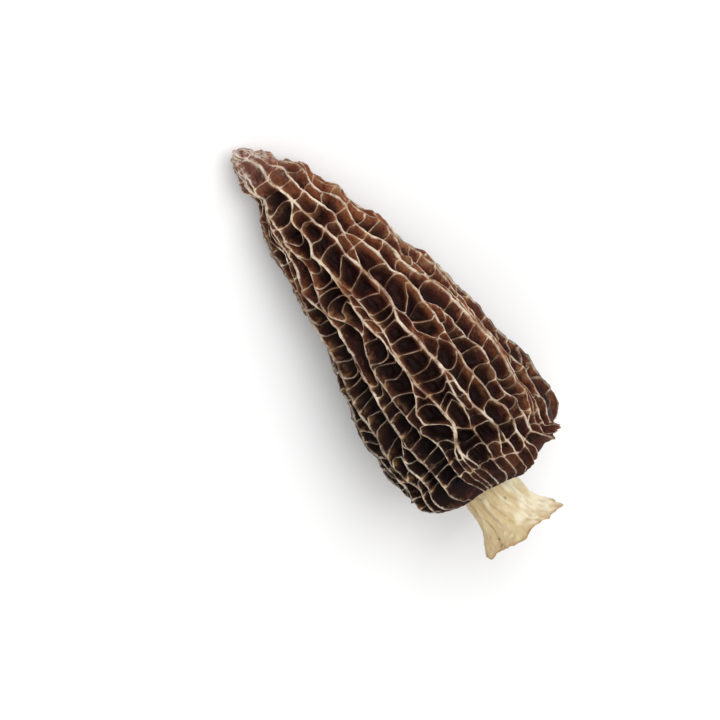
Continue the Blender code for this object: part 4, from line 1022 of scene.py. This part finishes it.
@dataclass
class StemSkin:
    """The wrinkled hollow stem with its flared, ragged lip."""

    around: int = 360
    along: int = 136
    crowd: float = 0.85
    soft: float = 3.0
    soft_step: float = 0.7

    def walls(self, tube: Tube) -> list[np.ndarray]:
        """World points in mm of the smooth outside and inside of the stem."""
        s, share, radius, angle = tube.s, tube.share, tube.radius, tube.angle
        middle = np.interp(s, *np.array(STEM, float)[:, [0, 2]].T) * UNIT_MM
        spread = (share**2)[:, None]
        flutes = waves(angle, STEM_FOLDS) * (FOLD_SHARES[0] + FOLD_SHARES[1] * spread)
        flutes = flutes + waves(angle, STEM_OVAL) * spread
        lip = waves(angle, STEM_LIP) + LIP_SLANT_MM * (np.sin(angle) - np.cos(angle))
        lip -= LIP_DIP_MM * np.cos(2 * angle)
        length = s[:, None] * UNIT_MM + lip * (share**LIP_POWER)[:, None]
        wall = STEM_WALL_MM + (STEM_LIP_MM - STEM_WALL_MM) * share**3
        rings = []
        for inset in (0.0, 1.0):
            r = radius[:, None] + flutes * (1.0 - FOLD_INSIDE * inset) - inset * wall[:, None]
            y = middle[:, None] + r * np.sin(angle)
            rings.append(to_world(length, y, r * np.cos(angle), False))
        return rings

    def creases(self, tube: Tube) -> np.ndarray:
        """Height in mm of the creases over the smooth outside, by ring and column.

        Each is depth * (|sin(count * angle / 2 + phase)|^0.6 - 0.7), with the angle turning a
        little along the stem and the depth waxing and waning, so that folds run out and fork.

        Args:
            tube: The rings and columns.

        Returns:
            One height for each point.
        """
        angle, radius = tube.angle, tube.radius[:, None]
        y, z = radius * np.sin(angle), radius * np.cos(angle)
        points = np.stack((np.broadcast_to(tube.s[:, None] * UNIT_MM, y.shape), y, z), axis=-1)
        winding = CREASE_TURN * np.sin(CREASE_TURNS * tube.share + CREASE_PHASE)[:, None]
        turn = angle + winding + grains(points, TURN_GRAIN)
        strength = 1.0 + grains(points, STRENGTH_GRAIN)
        creases = np.zeros_like(turn)
        for count, phase, deep in STEM_CREASES:
            wave = np.abs(np.sin(count * turn / 2 + phase)) ** CREASE_SHARP
            creases += deep * strength * (wave - CREASE_LEVEL)
        return creases

    def build(self, finish: bpy.types.Material) -> bpy.types.Object:
        """Makes the finished stem as one closed skin, outside and inside.

        Args:
            finish: The material of the stem.

        Returns:
            The object.
        """
        stations, radii = np.array(STEM, float)[:, :2].T
        share = np.linspace(0.0, 1.0, self.along) ** self.crowd
        s = stations[0] + (stations[-1] - stations[0]) * share
        radius = bell_mean(np.interp(s, stations, radii), self.soft, self.soft_step) * UNIT_MM
        angle = np.linspace(0, 2 * math.pi, self.around, endpoint=False)
        tube = Tube(s, share, radius, angle)
        outer, inner = self.walls(tube)
        creases = self.creases(tube)
        streaks = Grain(0.55, 10).at(outer * np.array(STREAK_STRETCH))
        outward = np.stack((0.0 * angle, np.sin(angle), np.cos(angle)), axis=-1)
        wrinkle = creases + grains(outer, STEM_GRAIN) + STREAK_MM * streaks
        outer = outer + wrinkle[..., None] * outward
        ragged = RAGGED_MM * Grain(0.7, 13).at(outer) * (share**RAGGED_POWER)[:, None]
        outer[..., 0] += ragged
        inner[..., 0] += ragged
        points = np.concatenate((outer, inner[::-1])).reshape(-1, 3)
        rows = 2 * self.along
        faces = ring_faces(rows, self.around, 0).tolist()
        row = (rows - 1) * self.around
        for i in range(self.around):
            after = (i + 1) % self.around
            faces.append([i, after, row + after, row + i])
        line = np.broadcast_to(share[:, None], (self.along, self.around))
        specks = np.zeros_like(line)
        for place, degrees, reach in STEM_SPECKS:
            arc = (angle - math.radians(degrees) + math.pi) % (2 * math.pi) - math.pi
            off = np.hypot(arc * radius[:, None], (s[:, None] - place) * UNIT_MM)
            specks = specks + np.exp(-((off / reach) ** 2))
        values = {"along": line, "speck": specks, "crease": -creases * CREASE_SEEN, "streak": streaks}
        # painted shade: darker towards -Y, the side away from the light, on top of a darker tone everywhere
        values["tone_and_shade"] = np.broadcast_to(DARKER_TONE - SIDE_SHADE * np.sin(angle), line.shape)
        flat = {key: np.concatenate((value, 0.0 * value)) for key, value in values.items()}
        flat["along"] = np.concatenate((line, line[::-1]))
        flat["inside"] = np.concatenate((np.zeros_like(line), np.ones_like(line)))
        flat = {key: value.reshape(-1) for key, value in flat.items()}
        return Skin("stem_skin", points, faces, flat).build(finish)


@dataclass
class Nodes:
    """Small helper that adds and joins shader nodes of one material."""

    material: bpy.types.Material

    @classmethod
    def new(cls, finish: Finish) -> "Nodes":
        """A new material with its Principled shader ready."""
        material = bpy.data.materials.new(finish.value)
        material.use_nodes = True
        return cls(material)

    @property
    def tree(self) -> bpy.types.NodeTree:
        """The material's node tree."""
        return self.material.node_tree

    @property
    def shader(self) -> bpy.types.Node:
        """The Principled shader."""
        return self.tree.nodes["Principled BSDF"]

    def link(self, source: Socket, target: Socket) -> None:
        """Joins two sockets."""
        self.tree.links.new(source, target)

    def value(self, name: str) -> Socket:
        """A value stored on the vertices."""
        node = self.tree.nodes.new("ShaderNodeAttribute")
        node.attribute_name = name
        return node.outputs["Fac"]

    def noise(self, cell_mm: float, detail: float = 4.0, rough: float = 0.6) -> Socket:
        """Noise in object space with cells of that many millimetres."""
        coordinates = self.tree.nodes.new("ShaderNodeTexCoord")
        node = self.tree.nodes.new("ShaderNodeTexNoise")
        node.inputs["Scale"].default_value = 1000.0 / cell_mm
        node.inputs["Detail"].default_value = detail
        node.inputs["Roughness"].default_value = rough
        self.link(coordinates.outputs["Object"], node.inputs["Vector"])
        return node.outputs["Fac"]

    def math(self, operation: str, a: object, b: object, clamp: bool = False) -> Socket:
        """A sum, product or other operation on sockets or plain numbers."""
        node = self.tree.nodes.new("ShaderNodeMath")
        node.operation = operation
        node.use_clamp = clamp
        for socket, item in zip(node.inputs, (a, b)):
            if isinstance(item, (int, float)):
                socket.default_value = item
            else:
                self.link(item, socket)
        return node.outputs[0]

    def times(self, a: object, b: object, clamp: bool = False) -> Socket:
        """Product."""
        return self.math("MULTIPLY", a, b, clamp)

    def plus(self, a: object, b: object) -> Socket:
        """Sum."""
        return self.math("ADD", a, b)

    def less(self, a: object, b: object) -> Socket:
        """Difference."""
        return self.math("SUBTRACT", a, b)

    def most(self, a: object, b: object) -> Socket:
        """The larger of two."""
        return self.math("MAXIMUM", a, b)

    def line(self, source: Socket, slope: float, start: float) -> Socket:
        """start + slope * value."""
        return self.plus(self.times(source, slope), start)

    def swing(self, source: Socket, width: float) -> Socket:
        """(value - 0.5) * width."""
        return self.times(self.less(source, 0.5), width)

    def span(self, source: Socket, low: float, high: float) -> Socket:
        """Rises smoothly from 0 at low to 1 at high."""
        node = self.tree.nodes.new("ShaderNodeMapRange")
        node.interpolation_type = "SMOOTHSTEP"
        self.link(source, node.inputs["Value"])
        node.inputs["From Min"].default_value = low
        node.inputs["From Max"].default_value = high
        return node.outputs["Result"]

    def near(self, name: str, low: float, high: float) -> Socket:
        """A value stored on the vertices, as it rises from 0 at low to 1 at high."""
        return self.span(self.value(name), low, high)

    def patches(self, cell_mm: float, detail: float, low: float, high: float, rough: float = 0.6) -> Socket:
        """Noise as it rises from 0 at low to 1 at high."""
        return self.span(self.noise(cell_mm, detail, rough), low, high)

    def ramp(self, source: Socket, stops: list[tuple[float, tuple]]) -> Socket:
        """Colours by value."""
        node = self.tree.nodes.new("ShaderNodeValToRGB")
        while len(node.color_ramp.elements) < len(stops):
            node.color_ramp.elements.new(0.5)
        for element, (place, color) in zip(node.color_ramp.elements, stops):
            element.position = place
            element.color = (*color, 1.0)
        self.link(source, node.inputs["Fac"])
        return node.outputs["Color"]

    def mix(self, share: object, first: object, second: object) -> Socket:
        """Blend of two colours by a share."""
        node = self.tree.nodes.new("ShaderNodeMix")
        node.data_type = "RGBA"
        sockets = [s for s in node.inputs if s.enabled]
        for socket, item in zip(sockets, (share, first, second)):
            if isinstance(item, Socket):
                self.link(item, socket)
            elif isinstance(item, tuple):
                socket.default_value = (*item, 1.0)
            else:
                socket.default_value = item
        return [s for s in node.outputs if s.enabled][0]

    def tint(self, color: object, share: object, part: float, other: tuple) -> Socket:
        """Blends another colour in by a part of a share."""
        return self.mix(self.times(share, part), color, other)

    def bump(self, source: Socket, height_mm: float, before: object = None) -> Socket:
        """Fine relief of that height."""
        node = self.tree.nodes.new("ShaderNodeBump")
        node.inputs["Distance"].default_value = height_mm * METRES
        self.link(source, node.inputs["Height"])
        if before is not None:
            self.link(before, node.inputs["Normal"])
        return node.outputs["Normal"]


@dataclass(frozen=True)
class CapFinish:
    """Near-black pits, darkened with depth partly by painted shade, red-brown and amber rib sides, and pale
    tan cords on the crests, with painted highlights in places.
    """

    # dark, pit and deep: the pits' own dark brown, also used as painted shade that deepens with depth and
    # away from the light
    dark: tuple = (0.0035, 0.0015, 0.0013)
    pit: tuple = (0.016, 0.0045, 0.0032)
    deep: tuple = (0.044, 0.0112, 0.0068)
    side: tuple = (0.14, 0.036, 0.018)
    amber: tuple = (0.275, 0.09, 0.036)
    sheet: tuple = (0.24, 0.125, 0.062)
    honey: tuple = (0.36, 0.165, 0.055)
    plum: tuple = (0.12, 0.026, 0.028)
    # whitish crest skin, and painted highlight where it is brightest
    cord: tuple = (0.47, 0.35, 0.235)
    chalk_and_highlight: tuple = (0.83, 0.71, 0.55)
    seam: tuple = (0.14, 0.07, 0.04)
    maroon: tuple = (0.095, 0.022, 0.02)
    rose: tuple = (0.17, 0.07, 0.052)
    frost: tuple = (0.58, 0.51, 0.47)

    def flesh(self, nodes: Nodes) -> Socket:
        """Colour of pits and rib sides: darker with depth, partly their own dark brown and partly painted
        shade; lighter and redder by painted light towards +Y and darker by painted shade towards -Y; amber
        beside some ribs.
        """
        depth, painted_light = nodes.value("depth"), nodes.value("painted_light")
        tone = nodes.less(depth, nodes.swing(nodes.noise(0.5, 5.0), 0.6))
        # painted light: lighter where the painted light share is high
        tone = nodes.less(tone, nodes.swing(painted_light, 0.4))
        # darker with depth: partly the pits' own near-black brown, partly painted shade in the hollows
        color = nodes.ramp(tone, [(0.0, self.side), (0.4, self.deep), (0.85, self.pit)])
        color = nodes.tint(color, nodes.patches(1.9, 3.0, 0.5, 0.7), 0.5, self.maroon)
        # painted shade: darker where the painted light share is low, on the side away from the light
        color = nodes.tint(color, nodes.span(painted_light, 0.75, -0.05), 0.75, self.dark)
        # amber patches near the crests, more of them where the painted light share is high
        glow = nodes.times(nodes.patches(3.4, 3.0, 0.45, 0.6), nodes.span(depth, 0.75, 0.1))
        color = nodes.mix(nodes.times(glow, nodes.span(painted_light, -0.1, 0.9)), color, self.amber)
        color = nodes.tint(color, nodes.patches(0.28, 4.0, 0.5, 0.36, 0.7), 0.6, self.dark)
        crown = nodes.times(nodes.near("tip", 0.15, 0.75), nodes.span(depth, 0.7, 0.1))
        return nodes.tint(color, crown, 0.5, self.rose)

    def sheets(self, nodes: Nodes) -> Socket:
        """How ochre the skin is under the crests: below cross walls, and here and there by ribs, more of it
        where painted light falls.
        """
        patch = nodes.patches(2.3, 3.0, 0.54, 0.66)
        beside = nodes.times(patch, nodes.near("rib_off", 0.55, 0.1))
        share = nodes.most(nodes.times(nodes.value("below"), nodes.plus(patch, 0.45)), beside)
        # more ochre on the side of the painted light
        share = nodes.times(share, nodes.line(nodes.value("painted_light"), 0.6, 0.5))
        return nodes.times(share, nodes.patches(0.35, 4.0, 0.2, 0.62), True)

    def webs(self, nodes: Nodes) -> Socket:
        """How honey-coloured the corners are where a cross wall joins a rib."""
        corner = nodes.times(nodes.near("rib_off", 0.75, 0.05), nodes.near("wall_off", 0.55, 0.05))
        corner = nodes.times(corner, nodes.value("wall_high"))
        return nodes.times(corner, nodes.patches(2.0, 4.0, 0.46, 0.6), True)

    def rib_crests(self, nodes: Nodes, fuzz: object, worn: object) -> Socket:
        """How much pale skin shows on ribs: nearly whole, thin in places and duller in others."""
        thin = nodes.times(nodes.patches(2.6, 4.0, 0.62, 0.4), 0.08)
        rib = nodes.span(nodes.plus(nodes.value("rib_off"), nodes.plus(fuzz, thin)), 0.18, 0.05)
        rib = nodes.times(rib, nodes.near("fall", 0.2, 0.04))
        rib = nodes.times(rib, nodes.line(worn, 0.3, 0.7))
        return nodes.times(rib, nodes.line(nodes.patches(5.2, 2.0, 0.36, 0.48), 0.45, 0.55))

    def wall_crests(self, nodes: Nodes, fuzz: object, worn: object) -> Socket:
        """How much pale skin shows on cross walls: worn midway and wider towards the ribs."""
        web = nodes.times(nodes.near("rib_off", 0.5, 0.05), 0.09)
        wall = nodes.less(nodes.plus(nodes.value("wall_off"), fuzz), web)
        wall = nodes.times(nodes.span(wall, 0.11, 0.02), nodes.value("wall_high"))
        ends = nodes.times(nodes.near("rib_off", 0.8, 0.1), 0.3)
        return nodes.times(wall, nodes.plus(nodes.times(worn, 0.6), ends))

    def pale(self, nodes: Nodes) -> Socket:
        """How much of the crests' pale skin shows."""
        fuzz = nodes.swing(nodes.noise(0.42, 5.0, 0.75), 0.26)
        worn = nodes.patches(1.7, 4.0, 0.3, 0.62)
        return nodes.most(self.rib_crests(nodes, fuzz, worn), self.wall_crests(nodes, fuzz, worn))

    def frosted(self, nodes: Nodes) -> Socket:
        """How grey the ribs are near the tip."""
        patchy = nodes.plus(nodes.value("tip"), nodes.less(nodes.noise(1.2, 4.0), 0.5))
        frost = nodes.times(nodes.span(patchy, 0.4, 0.9), nodes.patches(0.7, 4.0, 0.4, 0.62))
        return nodes.times(frost, nodes.near("rib_off", 0.7, 0.1))

    def material(self) -> bpy.types.Material:
        """Builds the shader."""
        nodes = Nodes.new(Finish.CAP)
        color = nodes.mix(self.sheets(nodes), self.flesh(nodes), self.sheet)
        color = nodes.mix(self.webs(nodes), color, self.honey)
        rim = nodes.times(nodes.value("rim"), nodes.patches(1.5, 3.0, 0.4, 0.62))
        color = nodes.tint(color, rim, 0.6, self.plum)
        # pale cords: tan, and in patches whitish with painted highlights
        crest = nodes.mix(nodes.patches(2.8, 5.0, 0.36, 0.58), self.cord, self.chalk_and_highlight)
        color = nodes.mix(self.pale(nodes), color, crest)
        seam = nodes.times(nodes.near("rib_off", 0.05, 0.0), nodes.near("width", 0.3, 0.8))
        color = nodes.tint(color, seam, 0.55, self.seam)
        color = nodes.tint(color, self.frosted(nodes), 0.75, self.frost)
        nodes.link(color, nodes.shader.inputs["Base Color"])
        rough = nodes.less(0.85, nodes.times(nodes.near("depth", 0.0, 0.9), 0.3))
        nodes.link(rough, nodes.shader.inputs["Roughness"])
        nodes.shader.inputs["Specular IOR Level"].default_value = 0.14
        coarse = nodes.bump(nodes.noise(0.7, 6.0, 0.7), 0.22)
        nodes.link(nodes.bump(nodes.noise(0.22, 4.0), 0.07, coarse), nodes.shader.inputs["Normal"])
        return nodes.material


@dataclass(frozen=True)
class StemFinish:
    """Cream with ochre in the creases and along the cut, brown specks, and painted shade, darker and more
    ochre, towards -Y.
    """

    cream: tuple = (0.62, 0.49, 0.28)
    pale: tuple = (0.80, 0.73, 0.54)
    ochre: tuple = (0.40, 0.24, 0.095)
    brown: tuple = (0.10, 0.05, 0.025)

    def material(self) -> bpy.types.Material:
        """Builds the shader."""
        nodes = Nodes.new(Finish.STEM)
        blotch, tone_and_shade = nodes.noise(3.2, 3.0), nodes.value("tone_and_shade")
        # painted shade: lighter streaks and blotches, darkened towards -Y
        light = nodes.less(nodes.plus(nodes.value("streak"), nodes.swing(blotch, 2.0)), tone_and_shade)
        color = nodes.mix(nodes.span(light, -0.7, 0.6), self.cream, self.pale)
        # painted shade with an ochre hue on the -Y side, in blotches
        shaded_ochre = nodes.times(nodes.span(tone_and_shade, 0.1, 1.0), nodes.span(blotch, 0.42, 0.6))
        color = nodes.tint(color, shaded_ochre, 0.45, self.ochre)
        crease = nodes.times(nodes.near("crease", 0.1, 1.3), nodes.patches(0.8, 5.0, 0.3, 0.6))
        color = nodes.tint(color, crease, 0.6, self.ochre)
        edge = nodes.plus(nodes.value("along"), nodes.swing(blotch, 0.06))
        color = nodes.tint(color, nodes.span(edge, 0.95, 1.0), 0.8, self.ochre)
        color = nodes.tint(color, nodes.value("inside"), 0.35, self.ochre)
        dots = nodes.times(nodes.value("speck"), nodes.patches(0.3, 3.0, 0.4, 0.56))
        dots = nodes.most(dots, nodes.patches(1.2, 2.0, 0.73, 0.78))
        color = nodes.mix(nodes.times(dots, 0.85, True), color, self.brown)
        nodes.link(color, nodes.shader.inputs["Base Color"])
        for name, value in self.settings.items():
            nodes.shader.inputs[name].default_value = value
        nodes.link(nodes.bump(nodes.noise(0.5, 6.0, 0.65), 0.1), nodes.shader.inputs["Normal"])
        return nodes.material

    @property
    def settings(self) -> dict[str, object]:
        """Plain inputs of the shader; a little light passes through the flesh."""
        return {
            "Roughness": 0.7,
            "Specular IOR Level": 0.25,
            "Subsurface Weight": 0.2,
            "Subsurface Radius": (1.0, 0.6, 0.35),
            "Subsurface Scale": 0.0006,
        }


@dataclass(frozen=True)
class Studio:
    """Pale floor, soft light from the upper right and the camera."""

    view_seen: float = 230.6
    view_side: float = -35.2
    frame_units: float = 720.0
    lens_mm: float = 300.0
    sensor_mm: float = 36.0
    near_clip: float = 0.01
    right_share: float = 0.638
    down_share: float = 0.770
    light_toward: tuple = (-0.45, 0.42, 1.0)
    light_distance: float = 0.6
    light_size: float = 0.5
    light_power: float = 2.5
    sky_strength: float = 0.75
    floor_reach: float = 2.0
    floor_color: tuple = (0.93, 0.93, 0.93, 1.0)
    floor_roughness: float = 0.9

    def target(self) -> Vector:
        """World point at the middle of the image, in metres."""
        s = np.array([self.view_seen / math.cos(VIEW_LEAN) * UNIT_MM])
        point = to_world(s, np.array([self.view_side * UNIT_MM]), np.zeros(1), False)[0]
        return Vector((point * METRES).tolist())

    def add_camera(self) -> None:
        """Looks down from the tip's side, with the axis running to the lower right."""
        rise = math.radians(90.0) - VIEW_LEAN - math.atan(FLANK_SLOPE)
        back = Vector((-math.cos(rise), 0.0, math.sin(rise)))
        onward = Vector((math.sin(rise), 0.0, math.cos(rise)))
        side = Vector((0.0, 1.0, 0.0))
        right = onward * self.right_share + side * self.down_share
        up = side * self.right_share - onward * self.down_share
        distance = self.frame_units * UNIT_MM * METRES * self.lens_mm / self.sensor_mm
        data = bpy.data.cameras.new("camera")
        data.lens = self.lens_mm
        data.sensor_width = self.sensor_mm
        data.clip_start = self.near_clip
        camera = bpy.data.objects.new("camera", data)
        turn = Matrix((right.normalized(), up.normalized(), back)).transposed().to_4x4()
        camera.matrix_world = Matrix.Translation(self.target() + back * distance) @ turn
        bpy.context.scene.collection.objects.link(camera)
        bpy.context.scene.camera = camera

    def add_light(self) -> None:
        """A square soft light that looks at the middle of the image."""
        data = bpy.data.lights.new("key", "AREA")
        data.size = self.light_size
        data.energy = self.light_power
        light = bpy.data.objects.new("key", data)
        direction = Vector(self.light_toward).normalized()
        light.location = self.target() + direction * self.light_distance
        light.rotation_euler = direction.to_track_quat("Z", "Y").to_euler()
        bpy.context.scene.collection.objects.link(light)

    def build(self) -> bpy.types.Object:
        """Adds everything and returns the floor."""
        mesh = bpy.data.meshes.new("floor")
        far = self.floor_reach
        corners = [(-far, -far, 0), (far, -far, 0), (far, far, 0), (-far, far, 0)]
        mesh.from_pydata(corners, [], [[0, 1, 2, 3]])
        floor = bpy.data.objects.new("floor", mesh)
        nodes = Nodes.new(Finish.FLOOR)
        nodes.shader.inputs["Base Color"].default_value = self.floor_color
        nodes.shader.inputs["Roughness"].default_value = self.floor_roughness
        mesh.materials.append(nodes.material)
        bpy.context.scene.collection.objects.link(floor)
        world = bpy.data.worlds.new("studio")
        world.use_nodes = True
        background = world.node_tree.nodes["Background"]
        background.inputs["Color"].default_value = (1.0, 1.0, 1.0, 1.0)
        background.inputs["Strength"].default_value = self.sky_strength
        bpy.context.scene.world = world
        bpy.context.scene.view_settings.view_transform = "Standard"
        self.add_light()
        self.add_camera()
        return floor


def main() -> None:
    """Builds the pieces in order and hands them to the frame."""
    logging.basicConfig(level=logging.INFO, format="%(message)s")
    form = CapForm()
    pieces = {
        "cap": CapSkin(form).build(CapFinish().material()),
        "stem": StemSkin().build(StemFinish().material()),
    }
    for node, piece in pieces.items():
        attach(piece, "root")
        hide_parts(node)
        LOG.info("%s: %d faces", piece.name, len(piece.data.polygons))
    Studio().build()


if __name__ == "__main__":
    main()
